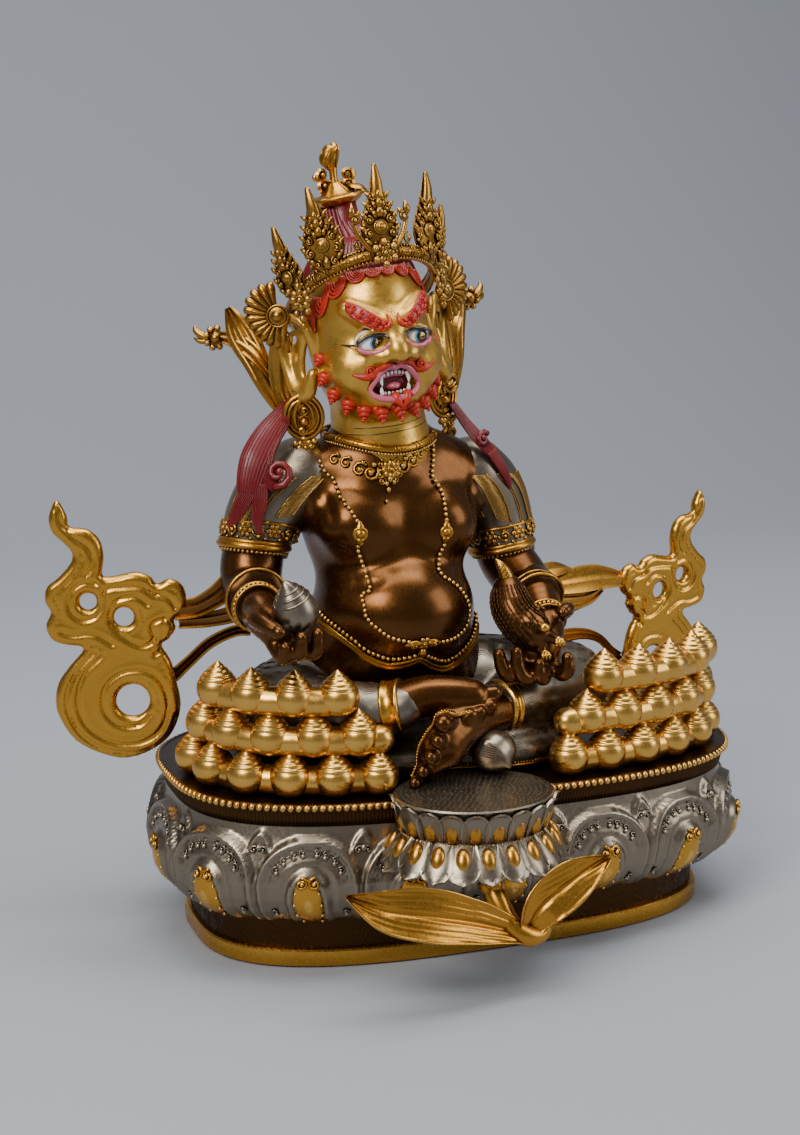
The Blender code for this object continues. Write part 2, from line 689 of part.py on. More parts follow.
def build_stem_and_leaves(parts, mat):
    """The stem below the small lotus, curled up at its foot, with a leaf to each side."""
    bm = bmesh.new()
    x, y = FOOTREST_X, FOOTREST_Y
    under = FOOTREST_TOP - 0.040
    stem = [(x, y - 0.020, under), (x + 0.002, y - 0.030, 0.048), (x + 0.010, y - 0.038, 0.034), (x + 0.020, y - 0.040, 0.031)]
    add_limb(bm, stem, [0.0055, 0.006, 0.0065, 0.006], 8)
    left = [(x + 0.006, -0.137, 0.036), (x - 0.018, -0.140, 0.044), (x - 0.045, -0.141, 0.052), (x - 0.066, -0.138, 0.056), (x - 0.083, -0.134, 0.064)]
    add_strip(bm, left, [0.010, 0.020, 0.025, 0.020, 0.004], 0.005, (-0.1, -1, 0.45))
    right = [(x + 0.016, -0.137, 0.036), (x + 0.024, -0.137, 0.050), (x + 0.040, -0.135, 0.058), (x + 0.062, -0.131, 0.066)]
    add_strip(bm, right, [0.012, 0.020, 0.020, 0.004], 0.005, (0.2, -1, 0.45))
    return add_mesh("stem_and_leaves", bm, parts, mat)


def build_small_pieces(parts, mats):
    """The jewel and the mongoose in the hands, and the conch on the base."""
    bm = bmesh.new()
    add_jewel(bm, at_figure((-73, -64, 192)), 0.0118, 12)
    jewel = add_mesh("wish_jewel", bm, parts, mats["silver"])
    bm = bmesh.new()
    back = [at_figure(p) for p in ((48, -46, 186), (49, -54, 176), (56, -66, 170))]
    add_limb(bm, back, [0.009, 0.0125, 0.0095], 10)
    add_limb(bm, [at_figure(p) for p in ((47, -44, 190), (50, -46, 199), (45, -46, 209))], [0.0045, 0.0035, 0.0012], 8)
    add_ball(bm, at_figure((59, -72, 171)), (0.0055, 0.007, 0.0055), segments=10, rings=6)
    mongoose = add_mesh("mongoose", bm, parts, mats["bronze"])
    bm = bmesh.new()
    place = Vector((CONCH_X, CONCH_Y, FOOTREST_TOP + TOUCH_GAP + CONCH_RADIUS))
    add_ball(bm, place, (CONCH_RADIUS * 1.12, CONCH_RADIUS, CONCH_RADIUS), None, 14, 8)
    conch = add_mesh("conch", bm, parts, mats["silver"])
    return jewel, mongoose, conch


def union_with(obj, bm, cutters):
    """Joins loose shapes, which may overlap each other, to a piece."""
    tool = as_cutter(add_mesh(obj.name + " additions", bm, cutters))
    boolean = obj.modifiers.new("join", "BOOLEAN")
    boolean.operation = "UNION"
    boolean.object = tool
    boolean.solver = "EXACT"
    boolean.use_self = True


def main():
    clear_scene()
    parts = new_collection("jambhala_statue")
    cutters = new_collection("cutters")
    mats = {
        "bronze": material("bronze", (0.16, 0.07, 0.03), 0.3, 1.0),
        "gold": material("gilt", (0.85, 0.58, 0.22), 0.28, 1.0),
        "silver": material("silvered", (0.55, 0.50, 0.44), 0.4, 1.0),
    }
    base = build_base(parts, mats["silver"])
    figure = build_figure(parts, cutters, mats["bronze"])
    bpy.context.view_layer.update()
    figure_space = clearance_of(figure, cutters)
    envelope = bmesh.new()
    add_rings(envelope, base_rings(grow=TOUCH_GAP * 2, petals=False))
    base_space = as_cutter(add_mesh("base envelope", envelope, cutters))

    for side, name in ((-1, "right"), (1, "left")):
        heap, jewels = build_heap("jewel_heap_" + name, side, parts, mats["gold"])
        union_with(heap, jewels, cutters)
        cut(heap, figure_space)
        scroll = build_scroll("scarf_scroll_" + name, side, parts, mats["gold"])
        union_with(scroll, scarf_strips(side), cutters)
        cut(scroll, figure_space)
        earring = build_earring("earring_" + name, side, parts, mats["gold"])
        cut(earring, figure_space)
    band, leaves = build_crown(parts, mats["gold"])
    union_with(band, leaves, cutters)
    cut(band, figure_space)
    topknot = build_topknot(parts, mats["bronze"])
    cut(topknot, figure_space)
    footrest = build_footrest(parts, mats["silver"])
    cut(footrest, base_space)
    cut(footrest, figure_space)
    stem = build_stem_and_leaves(parts, mats["gold"])
    cut(stem, base_space)
    bpy.context.view_layer.update()
    cut(stem, clearance_of(footrest, cutters))
    cut(footrest, heap_end_space(cutters))
    for piece in build_small_pieces(parts, mats):
        cut(piece, figure_space)
    return base


main()
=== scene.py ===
"""The looks of the gilt copper wealth deity: carved relief, paint, patina, light and camera."""

import math

import bpy
import numpy as np
from mathutils import Matrix, Vector
from mathutils.bvhtree import BVHTree


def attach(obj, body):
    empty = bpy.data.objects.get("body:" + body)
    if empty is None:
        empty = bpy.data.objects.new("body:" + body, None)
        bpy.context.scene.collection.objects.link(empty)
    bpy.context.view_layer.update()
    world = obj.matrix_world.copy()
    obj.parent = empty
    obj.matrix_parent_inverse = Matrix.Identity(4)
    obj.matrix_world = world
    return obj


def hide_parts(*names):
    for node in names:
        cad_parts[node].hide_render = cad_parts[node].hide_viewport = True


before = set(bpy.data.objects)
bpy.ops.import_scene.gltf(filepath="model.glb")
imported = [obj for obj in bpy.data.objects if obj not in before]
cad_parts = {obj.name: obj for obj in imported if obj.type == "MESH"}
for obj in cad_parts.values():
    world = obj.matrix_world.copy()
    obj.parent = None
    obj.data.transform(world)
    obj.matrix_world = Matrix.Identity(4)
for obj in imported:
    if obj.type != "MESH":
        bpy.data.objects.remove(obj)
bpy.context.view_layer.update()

MM = 0.001

# Lotus base, as in the frame
HALF_LENGTH = 150.0
HALF_DEPTH = 78.0
OUTLINE_POWER = 2.9
BASE_TOP = 95.0
RIM_REACH = 14.0
PETAL_LOW = 28.0
PETAL_HIGH = 82.0
PETAL_COUNT = 16

# The figure's place, and its head's
FIGURE_X = -35.0
HEAD_X = -8.5
HEAD_TILT = math.radians(7.3)
HEAD_PIVOT = np.array([HEAD_X, -2.0, 282.0])

# How fine each rounded form is skinned, in millimetres; the whole stays under a million triangles
HEAD_STEP = 1.15
TORSO_STEP = 2.1
LEG_STEP = 2.4
SLEEVE_STEP = 2.1
ARM_STEP = 1.3
FOOT_STEP = 1.15
SCROLL_STEP = 1.15
HEAP_STEP = 2.7
CITRON_STEP = 0.85
MONGOOSE_STEP = 0.8
CONCH_STEP = 0.75

# The photo's camera
CAMERA_AZIMUTH = math.radians(-20.6)
CAMERA_ELEVATION = math.radians(11.9)
CAMERA_ROLL = math.radians(0.45)
CAMERA_DISTANCE = 1.061
FOCAL_PX = 1900
PHOTO_HEIGHT_PX = 1135
SENSOR_WIDTH = 36.0


# Camera first, because the photo sets the framing

def add_camera():
    azimuth, elevation, roll = CAMERA_AZIMUTH, CAMERA_ELEVATION, CAMERA_ROLL
    target = Vector((-0.027, 0.006, 0.197))
    back = Vector((
        math.sin(azimuth) * math.cos(elevation), -math.cos(azimuth) * math.cos(elevation), math.sin(elevation)
    ))
    side = (-back).cross(Vector((0, 0, 1))).normalized()
    up = side.cross(-back)
    turned_side = math.cos(roll) * side + math.sin(roll) * up
    turned_up = -math.sin(roll) * side + math.cos(roll) * up
    data = bpy.data.cameras.new("camera")
    data.sensor_width = SENSOR_WIDTH
    data.lens = FOCAL_PX / PHOTO_HEIGHT_PX * SENSOR_WIDTH
    camera = bpy.data.objects.new("camera", data)
    place = Matrix((turned_side, turned_up, back)).transposed().to_4x4()
    place.translation = target + back * CAMERA_DISTANCE
    camera.matrix_world = place
    bpy.context.scene.collection.objects.link(camera)
    bpy.context.scene.camera = camera


add_camera()


# Paths, and loose faces that become one object

def smooth_path(points, per=5, closed=False):
    """A Catmull-Rom curve through rows of numbers, with per rows for each stretch."""
    rows = np.asarray(points, float)
    count = len(rows)
    if closed:
        picks = [(i - 1, i, (i + 1) % count, (i + 2) % count) for i in range(count)]
    else:
        picks = [(max(i - 1, 0), i, i + 1, min(i + 2, count - 1)) for i in range(count - 1)]
    made = []
    for a, b, c, d in picks:
        for t in np.arange(per) / per:
            made.append(0.5 * (
                2 * rows[b] + (rows[c] - rows[a]) * t
                + (2 * rows[a] - 5 * rows[b] + 4 * rows[c] - rows[d]) * t * t
                + (3 * rows[b] - rows[a] - 3 * rows[c] + rows[d]) * t ** 3
            ))
    if not closed:
        made.append(rows[-1])
    return np.array(made)


def even_steps(path, step, closed=False):
    """Points a step apart along a path, as near as a whole number of steps allows."""
    path = np.asarray(path, float)
    if closed:
        path = np.vstack([path, path[:1]])
    lengths = np.concatenate([[0], np.cumsum(np.linalg.norm(np.diff(path[:, :3], axis=0), axis=1))])
    count = max(2, int(round(lengths[-1] / step)) + 1)
    goals = np.linspace(0, lengths[-1], count)
    if closed:
        goals = goals[:-1]
    return np.stack([np.interp(goals, lengths, path[:, k]) for k in range(path.shape[1])], 1)


def unit(v):
    v = np.asarray(v, float)
    return v / max(np.linalg.norm(v), 1e-12)


def round_faces(rows, columns, closed_columns=True):
    """Quads over a grid of vertices, rows by columns."""
    faces = []
    for i in range(rows - 1):
        for j in range(columns if closed_columns else columns - 1):
            k = (j + 1) % columns
            faces.append((i * columns + j, i * columns + k, (i + 1) * columns + k, (i + 1) * columns + j))
    return faces


def capped_faces(rows, columns):
    """Quads over closed rings, with a face over the first ring and the last."""
    faces = round_faces(rows, columns)
    faces.append(tuple(range(columns))[::-1])
    faces.append(tuple(range((rows - 1) * columns, rows * columns)))
    return faces


def strip_ways(place, face):
    """The ways out of and across a strip, from its middle line and the rough way that it looks."""
    along = np.gradient(place, axis=0)
    along /= np.linalg.norm(along, axis=1)[:, None]
    face = face - along * np.sum(face * along, 1)[:, None]
    face /= np.linalg.norm(face, axis=1)[:, None]
    return face, np.cross(along, face)


class Soup:
    """Faces gathered in millimetres before they become one object."""

    def __init__(self):
        self.verts, self.faces, self.count = [], [], 0

    def add(self, verts, faces):
        verts = np.asarray(verts, float).reshape(-1, 3)
        self.verts.append(verts)
        self.faces += [tuple(i + self.count for i in face) for face in faces]
        self.count += len(verts)
        return self

    def join(self, other, matrix=None):
        """Adds a copy of another soup, moved by a 4 by 4 matrix."""
        verts = np.vstack(other.verts)
        faces = other.faces
        if matrix is not None:
            m = np.array(matrix)
            verts = verts @ m[:3, :3].T + m[:3, 3]
            if np.linalg.det(m[:3, :3]) < 0:
                faces = [face[::-1] for face in faces]
        return self.add(verts, faces)

    def ball(self, centre, radii, turn=None, detail=(12, 7)):
        """A ball or ellipsoid. turn is a 3 by 3 matrix."""
        columns, rows = detail
        radii = np.broadcast_to(np.asarray(radii, float), 3)
        turns = np.arange(columns) * 2 * np.pi / columns
        verts, faces = [(0, 0, -1)], []
        for i in range(1, rows):
            tilt = np.pi * (i / rows - 0.5)
            verts += [(math.cos(tilt) * math.cos(a), math.cos(tilt) * math.sin(a), math.sin(tilt)) for a in turns]
        verts.append((0, 0, 1))
        last = len(verts) - 1
        for j in range(columns):
            k = (j + 1) % columns
            faces.append((0, 1 + k, 1 + j))
            faces.append((last, last - columns + j, last - columns + k))
        faces += [tuple(v + 1 for v in face) for face in round_faces(rows - 1, columns)]
        place = np.array(verts) * radii
        if turn is not None:
            place = place @ np.asarray(turn).T
        return self.add(place + np.asarray(centre, float), faces)

    def tube(self, points, radii, sides=8, flat=1.0, normal=None, per=3, closed=False):
        """A tube through points. flat squeezes it along normal, where one is given."""
        points = np.asarray(points, float)
        radii = np.broadcast_to(np.asarray(radii, float), len(points))
        line = smooth_path(np.column_stack([points, radii]), per,
            closed) if per > 1 else np.column_stack([points, radii])
        place, size = line[:, :3], np.maximum(line[:, 3], 0.01)
        if closed:
            along = np.roll(place, -1, 0) - np.roll(place, 1, 0)
        else:
            along = np.gradient(place, axis=0)
        along /= np.maximum(np.linalg.norm(along, axis=1), 1e-9)[:, None]
        if normal is None:
            up = unit(np.cross(along[0], (0.31, 0.17, 0.93)))
            ups = []
            for t in along:
                up = unit(up - t * np.dot(up, t))
                ups.append(up)
            ups = np.array(ups)
        else:
            ups = np.broadcast_to(np.asarray(normal, float), place.shape)
            ups = ups - along * np.sum(ups * along, 1)[:, None]
            ups /= np.maximum(np.linalg.norm(ups, axis=1), 1e-9)[:, None]
        sideways = np.cross(along, ups)
        turns = np.arange(sides) * 2 * np.pi / sides
        rings = (
            place[:, None] + (sideways[:, None] * np.cos(turns)[:, None]
            + ups[:, None] * flat * np.sin(turns)[:, None]) * size[:, None, None]
        )
        verts = rings.reshape(-1, 3)
        faces = round_faces(len(place), sides)
        if closed:
            last = (len(place) - 1) * sides
            faces += [(last + j, last + (j + 1) % sides, (j + 1) % sides, j) for j in range(sides)]
            return self.add(verts, faces)
        tips = [place[0] - along[0] * size[0] * 0.6, place[-1] + along[-1] * size[-1] * 0.6]
        verts = np.vstack([verts, tips])
        first, last = len(verts) - 2, len(verts) - 1
        for j in range(sides):
            k = (j + 1) % sides
            faces.append((first, k, j))
            faces.append((last, (len(place) - 1) * sides + j, (len(place) - 1) * sides + k))
        return self.add(verts, faces)

    def beads(self, path, radius, pitch=None, closed=False, squash=1.0, detail=(7, 4)):
        """A row of beads along a path."""
        for p in even_steps(path, pitch or radius * 2.05, closed):
            self.ball(p[:3], (radius, radius, radius * squash), detail=detail)
        return self

    def lathe(self, profile, centre=(0, 0, 0), turn=None, columns=24, waves=None):
        """A turned form. profile is rows of (radius, height)."""
        turns = np.arange(columns) * 2 * np.pi / columns
        rings = []
        for radius, height in profile:
            push = 1.0 if waves is None else waves(turns, height)
            rings.append(np.stack([radius * push * np.cos(turns), radius * push * np.sin(turns),
                                   np.full(columns, height)], 1))
        verts = np.vstack(rings)
        if turn is not None:
            verts = verts @ np.asarray(turn).T
        return self.add(verts + np.asarray(centre, float), capped_faces(len(profile), columns))

    def spiral(self, centre, across, up, radius, turns=1.4, thick=1.0, start=0.0, lift=0.0, sides=4, flip=1):
        """A curl that winds in on a flat face, thinner and higher towards its eye."""
        across, up = unit(across), unit(up)
        out = np.cross(across, up)
        count = max(7, int(turns * 9))
        rows = []
        for i in range(count + 1):
            t = i / count
            a = start + flip * t * turns * 2 * math.pi
            r = radius * (1 - 0.86 * t)
            rows.append(np.asarray(centre) + (across * math.cos(a) + up * math.sin(a)) * r + out * lift * t)
        size = [thick * (1 - 0.35 * i / count) for i in range(count + 1)]
        self.tube(rows, size, sides, per=1)
        return self.ball(rows[-1], thick * 1.15, detail=(6, 4))


def finish_object(name, soup, mat, node, smooth_angle=50, scale=MM):
    """The soup as an object that rides on the root and stands for its CAD node."""
    if name == node:
        name += "_relief"
    mesh = bpy.data.meshes.new(name)
    mesh.from_pydata((np.vstack(soup.verts) * scale).tolist(), [], soup.faces)
    mesh.update()
    mesh.materials.append(mat)
    mesh.shade_smooth()
    if smooth_angle:
        mesh.set_sharp_from_angle(angle=math.radians(smooth_angle))
    obj = bpy.data.objects.new(name, mesh)
    bpy.context.scene.collection.objects.link(obj)
    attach(obj, "root")
    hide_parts(node)
    return obj


# Rounded forms from balls and limbs that melt into each other

class Form:
    """A field of distances in millimetres, skinned at zero."""

    def __init__(self, low, high, step):
        self.axes = [np.arange(a, b + step, step, dtype=np.float32) for a, b in zip(low, high)]
        self.value = np.full([len(a) for a in self.axes], 60.0, np.float32)

    def _window(self, low, high):
        picks = []
        for axis, a, b in zip(self.axes, low, high):
            picks.append(slice(max(0, int(np.searchsorted(axis, a)) - 1), int(np.searchsorted(axis, b)) + 1))
        grid = np.meshgrid(*[axis[p] for axis, p in zip(self.axes, picks)], indexing="ij")
        return tuple(picks), grid

    def _melt(self, picks, distance, melt, carve):
        old = self.value[picks]
        if carve:
            old, distance = -old, distance
        h = np.clip(0.5 + 0.5 * (distance - old) / melt, 0, 1)
        new = distance + (old - distance) * h - melt * h * (1 - h)
        self.value[picks] = -new if carve else new

    def ball(self, centre, radii, melt=4.0, turn=None, carve=False):
        radii = np.broadcast_to(np.asarray(radii, float), 3)
        centre = np.asarray(centre, float)
        reach = max(radii) + melt * 2 + 3
        picks, (x, y, z) = self._window(centre - reach, centre + reach)
        p = [x - centre[0], y - centre[1], z - centre[2]]
        if turn is not None:
            m = np.asarray(turn).T
            p = [m[k][0] * p[0] + m[k][1] * p[1] + m[k][2] * p[2] for k in range(3)]
        inner = np.sqrt(sum((q / r) ** 2 for q, r in zip(p, radii)))
        outer = np.sqrt(sum((q / r ** 2) ** 2 for q, r in zip(p, radii)))
        distance = inner * (inner - 1) / np.maximum(outer, 1e-6)
        self._melt(picks, distance.astype(np.float32), melt, carve)
        return self

    def limb(self, points, radii, melt=4.0, carve=False, per=4, flat=None):
        """A chain of round cones. flat is (unit vector, share) and squeezes the limb along that vector."""
        points = np.asarray(points, float)
        radii = np.broadcast_to(np.asarray(radii, float), len(points))
        line = smooth_path(np.column_stack([points, radii]),
            per) if len(points) > 2 and per > 1 else np.column_stack([points, radii])
        reach = radii.max() + melt * 2 + 3
        picks, (x, y, z) = self._window(line[:, :3].min(0) - reach, line[:, :3].max(0) + reach)
        best = np.full(x.shape, 60.0, np.float32)
        for a, b in zip(line, line[1:]):
            d = b[:3] - a[:3]
            t = np.clip(((x - a[0]) * d[0] + (y - a[1]) * d[1] + (z - a[2]) * d[2]) / max(d @ d, 1e-9), 0, 1)
            q = [x - a[0] - d[0] * t, y - a[1] - d[1] * t, z - a[2] - d[2] * t]
            if flat is not None:
                n, share = np.asarray(flat[0], float), flat[1]
                along = q[0] * n[0] + q[1] * n[1] + q[2] * n[2]
                q = [q[k] + along * n[k] * (1 / share - 1) for k in range(3)]
            distance = np.sqrt(q[0] ** 2 + q[1] ** 2 + q[2] ** 2) - (a[3] + (b[3] - a[3]) * t)
            best = np.minimum(best, distance)
        self._melt(picks, best, melt, carve)
        return self

    def skin(self, soften=1):
        """The surface as (vertices, quads), by surface nets."""
        v = self.value
        shape = np.array(v.shape) - 1
        inside = v < 0
        corners = [(i, j, k) for i in (0, 1) for j in (0, 1) for k in (0, 1)]

        def at(a, c):
            return a[c[0]:c[0] + shape[0], c[1]:c[1] + shape[1], c[2]:c[2] + shape[2]]

        count = sum(at(inside, c).astype(np.int8) for c in corners)
        cells = np.argwhere((count > 0) & (count < 8))
        number = np.full(shape, -1, np.int64)
        number[tuple(cells.T)] = np.arange(len(cells))
        total = np.zeros((len(cells), 3))
        hits = np.zeros(len(cells))
        for axis in range(3):
            for c in corners:
                if c[axis]:
                    continue
                other = list(c)
                other[axis] = 1
                va = v[tuple((cells + c).T)]
                vb = v[tuple((cells + other).T)]
                crossing = (va < 0) != (vb < 0)
                t = np.where(crossing, va / np.where(va == vb, 1, va - vb), 0)
                place = np.tile(np.array(c, float), (len(cells), 1))
                place[:, axis] = t
                total[crossing] += place[crossing]
                hits[crossing] += 1
        place = cells + total / np.maximum(hits, 1)[:, None]
        faces = []
        for axis in range(3):
            a, b = [k for k in range(3) if k != axis]
            low = np.take(inside, range(shape[axis]), axis)
            high = np.take(inside, range(1, shape[axis] + 1), axis)
            edges = np.argwhere(low != high)
            edges = edges[(edges[:, a] > 0) & (edges[:, b] > 0) & (edges[:, a] < shape[a]) & (edges[:, b] < shape[b])]
            starts = low[tuple(edges.T)]
            ring = []
            for da, db in ((1, 1), (0, 1), (0, 0), (1, 0)):
                e = edges.copy()
                e[:, a] -= da
                e[:, b] -= db
                ring.append(number[tuple(e.T)])
            quads = np.stack(ring, 1)
            turn = starts if axis != 1 else ~starts
            quads[~turn] = quads[~turn][:, ::-1]
            faces.append(quads)
        faces = np.vstack(faces)
        for _ in range(soften):
            sums = np.zeros_like(place)
            links = np.zeros(len(place))
            for i in range(4):
                j = (i + 1) % 4
                np.add.at(sums, faces[:, i], place[faces[:, j]])
                np.add.at(sums, faces[:, j], place[faces[:, i]])
                np.add.at(links, faces[:, i], 1)
                np.add.at(links, faces[:, j], 1)
            place = place * 0.5 + 0.5 * sums / np.maximum(links, 1)[:, None]
        low = np.array([axis[0] for axis in self.axes])
        step = self.axes[0][1] - self.axes[0][0]
        return place * step + low, faces.tolist()


def form_soup(form, soften=1):
    verts, faces = form.skin(soften)
    return Soup().add(verts, faces)


class Ground:
    """A finished form that ornaments are laid on."""

    def __init__(self, soup):
        self.tree = BVHTree.FromPolygons(np.vstack(soup.verts).tolist(), soup.faces)

    def front(self, x, z, lift=0.0, start=-260.0):
        """Where a line from the front meets the form."""
        place, normal, _, _ = self.tree.ray_cast(Vector((x, start, z)), Vector((0, 1, 0)))
        if place is None:
            return None, None
        return np.array(place + normal * lift), np.array(normal)

    def near(self, point, lift=0.0):
        place, normal, _, _ = self.tree.find_nearest(Vector(point))
        return np.array(place + normal * lift), np.array(normal)

    def lay(self, points, lift=0.0, per=6, closed=False):
        """A smooth path through points, moved on to the form."""
        return np.array([self.near(p, lift)[0] for p in smooth_path(points, per, closed)])


def facing(place, normal, up=(0, 0, 1), scale=1.0):
    """A matrix whose Z leaves a surface along its normal, with Y towards up."""
    z = unit(normal)
    x = unit(np.cross(up, z))
    y = np.cross(z, x)
    m = np.eye(4)
    m[:3, 0], m[:3, 1], m[:3, 2], m[:3, 3] = x * scale, y * scale, z * scale, place
    return m


def at_figure(points):
    return np.asarray(points, float) + (FIGURE_X, 0, 0)


TILT = np.array(Matrix.Rotation(-HEAD_TILT, 3, "Y"))


def at_head(points):
    """From the head's own upright frame, mid-plane at x = 0, to the object's."""
    p = np.asarray(points, float) + (HEAD_X, 0, 0)
    return (p - HEAD_PIVOT) @ TILT.T + HEAD_PIVOT + (FIGURE_X, 0, 0)


# Materials

class Nodes:
    """A short hand for wiring one material."""

    def __init__(self, name):
        self.mat = bpy.data.materials.new(name)
        self.mat.use_nodes = True
        self.tree = self.mat.node_tree
        self.shader = self.tree.nodes["Principled BSDF"]
        self.place = self.add("ShaderNodeTexCoord").outputs["Object"]

    def add(self, kind, **settings):
        node = self.tree.nodes.new(kind)
        for key, value in settings.items():
            setattr(node, key, value)
        return node

    def feed(self, socket, value):
        if isinstance(value, bpy.types.NodeSocket):
            self.tree.links.new(value, socket)
        elif isinstance(value, (tuple, list)) and len(value) == 3 and len(socket.default_value) == 4:
            socket.default_value = (*value, 1.0)
        else:
            socket.default_value = value
        return socket

    def noise(self, scale, detail=4.0, rough=0.55, stretch=None):
        node = self.add("ShaderNodeTexNoise")
        node.inputs["Scale"].default_value = scale
        node.inputs["Detail"].default_value = detail
        node.inputs["Roughness"].default_value = rough
        place = self.place
        if stretch:
            mapping = self.add("ShaderNodeMapping")
            mapping.inputs["Scale"].default_value = stretch
            self.feed(mapping.inputs["Vector"], place)
            place = mapping.outputs["Vector"]
        self.feed(node.inputs["Vector"], place)
        return node.outputs["Fac"]

    def ramp(self, value, low, high, start=0.0, end=1.0):
        """value from low..high to start..end, held at both ends."""
        node = self.add("ShaderNodeMapRange")
        self.feed(node.inputs["Value"], value)
        for key, number in (("From Min", low), ("From Max", high), ("To Min", start), ("To Max", end)):
            node.inputs[key].default_value = number
        return node.outputs["Result"]

    def math(self, operation, a, b=0.5):
        node = self.add("ShaderNodeMath", operation=operation)
        self.feed(node.inputs[0], a)
        self.feed(node.inputs[1], b)
        return node.outputs[0]

    def mix(self, share, a, b, blend="MIX"):
        node = self.add("ShaderNodeMix", data_type="RGBA", blend_type=blend)
        self.feed(node.inputs[0], share)
        self.feed(node.inputs[6], a)
        self.feed(node.inputs[7], b)
        return node.outputs[2]

    def hollows(self, reach):
        """1 in narrow recesses, 0 on open faces."""
        node = self.add("ShaderNodeAmbientOcclusion", samples=6)
        node.inputs["Distance"].default_value = reach
        return self.math("SUBTRACT", 1.0, node.outputs["AO"])

    def edges(self):
        return self.add("ShaderNodeNewGeometry").outputs["Pointiness"]

    def bump(self, height, strength, distance=0.0004):
        node = self.add("ShaderNodeBump")
        node.inputs["Strength"].default_value = strength
        node.inputs["Distance"].default_value = distance
        self.feed(node.inputs["Height"], height)
        self.feed(self.shader.inputs["Normal"], node.outputs["Normal"])


def cast_metal(name, highlight_color, body, recess, rough=(0.24, 0.42), reach=0.005, patina=(0.35, 0.75), grain=0.35,
               metallic=1.0, mottle=0.25, coat=0.0, hammer=90.0):
    """Cast metal: body colour, a painted highlight that brightens the convex edges, dark recesses, soft hammer marks
    and fine scratches.
    """
    n = Nodes(name)
    hollow = n.ramp(n.hollows(reach), patina[0], patina[1])
    spots = n.noise(420, 5)
    hollow = n.math("MULTIPLY", hollow, n.ramp(spots, 0.25, 0.6, 0.75, 1.15))
    cloud = n.noise(38, 4)
    # Painted highlight: convex edges (pointiness) are mixed towards the highlight colour.
    edge_highlight = n.ramp(n.edges(), 0.53, 0.68)
    color = n.mix(n.ramp(cloud, 0.35, 0.7, 0.0, mottle), body, tuple(c * 0.62 for c in body))
    color = n.mix(n.math("MULTIPLY", edge_highlight, 0.55), color, highlight_color)
    color = n.mix(n.math("MINIMUM", hollow, 1.0), color, recess)
    n.feed(n.shader.inputs["Base Color"], color)
    n.shader.inputs["Metallic"].default_value = metallic
    n.shader.inputs["Coat Weight"].default_value = coat
    n.shader.inputs["Coat Roughness"].default_value = 0.18
    scuffs = n.noise(900, 3, 0.6, (1.0, 0.25, 0.6))
    wear = n.math("ADD", n.ramp(scuffs, 0.3, 0.75, rough[0], rough[1]), n.math("MULTIPLY", hollow, 0.3))
    n.feed(n.shader.inputs["Roughness"], wear)
    dents = n.math("ADD", n.math("MULTIPLY", n.noise(hammer, 2), 1.0), n.math("MULTIPLY", n.noise(1300, 3), 0.10))
    n.bump(dents, grain, 0.0007)
    return n.mat


def paint(name, color, shade, rough=0.34, reach=0.003, coat=0.2, metallic=0.0, patina=(0.25, 0.65)):
    """Brushed paint: thinner and darker in the recesses, with faint brush marks."""
    n = Nodes(name)
    hollow = n.ramp(n.hollows(reach), patina[0], patina[1])
    tint = n.mix(n.ramp(n.noise(130, 4), 0.35, 0.7, 0.0, 0.35), color, tuple(c * 0.72 for c in color))
    n.feed(n.shader.inputs["Base Color"], n.mix(hollow, tint, shade))
    n.shader.inputs["Metallic"].default_value = metallic
    n.shader.inputs["Coat Weight"].default_value = coat
    n.feed(n.shader.inputs["Roughness"], n.ramp(n.noise(500, 3), 0.3, 0.7, rough - 0.06, rough + 0.1))
    n.bump(n.noise(700, 3), 0.12, 0.0003)
    return n.mat


GOLD = cast_metal("gilt copper", (1.0, 0.68, 0.22), (0.60, 0.30, 0.042), (0.10, 0.028, 0.005), (0.22, 0.36), 0.006,
                  (0.38, 0.80), 0.18)
OLD_GOLD = cast_metal("gilt with orange patina", (1.0, 0.66, 0.20), (0.50, 0.235, 0.034), (0.070, 0.018, 0.004),
                      (0.24, 0.40), 0.004, (0.24, 0.62), 0.22)
SILVER = cast_metal("silvered copper", (0.64, 0.56, 0.43), (0.25, 0.205, 0.148), (0.036, 0.018, 0.009), (0.26, 0.42),
                    0.005, (0.30, 0.70), 0.3)
SKIN = cast_metal("polished brown copper", (0.26, 0.098, 0.016), (0.105, 0.037, 0.0055), (0.014, 0.005, 0.001),
                  (0.23, 0.34), 0.010, (0.40, 0.86), 0.10, 0.92, 0.5, 0.12, 55.0)
DARK = cast_metal("dark engraved copper", (0.24, 0.10, 0.025), (0.060, 0.026, 0.008), (0.012, 0.005, 0.002),
                  (0.26, 0.40), 0.006, (0.36, 0.80), 0.3, 0.95, 0.5)
JEWEL_GOLD = cast_metal("smooth gilt copper", (1.0, 0.70, 0.25), (0.70, 0.39, 0.085), (0.27, 0.095, 0.016),
    (0.25, 0.34), 0.008,
                        (0.40, 0.88), 0.04, 1.0, 0.3, 0.0, 30.0)
RED = paint("crimson hair paint", (0.150, 0.0010, 0.0028), (0.03, 0.0004, 0.001), 0.36, 0.003, coat=0.05)
ORANGE = paint("orange hair paint", (0.50, 0.020, 0.0008), (0.12, 0.0008, 0.001), 0.36, 0.0016, coat=0.05,
    patina=(0.40, 0.76))


# The lotus base

def outline(out, angles):
    """Points of the base's rounded outline grown by out, in millimetres. Angle 0 is the front's middle."""
    c, s = np.sin(angles), -np.cos(angles)
    power = 2 / OUTLINE_POWER
    out = np.asarray(out)
    return np.stack([(HALF_LENGTH + out) * np.sign(c) * np.abs(c) ** power,
                     (HALF_DEPTH + out) * np.sign(s) * np.abs(s) ** power], -1)


DENSE = np.linspace(0, 2 * np.pi, 7201)
RIM_LINE = outline(RIM_REACH, DENSE)
RIM_LENGTHS = np.concatenate([[0], np.cumsum(np.linalg.norm(np.diff(RIM_LINE, axis=0), axis=1))])
RIM_LENGTHS /= RIM_LENGTHS[-1]


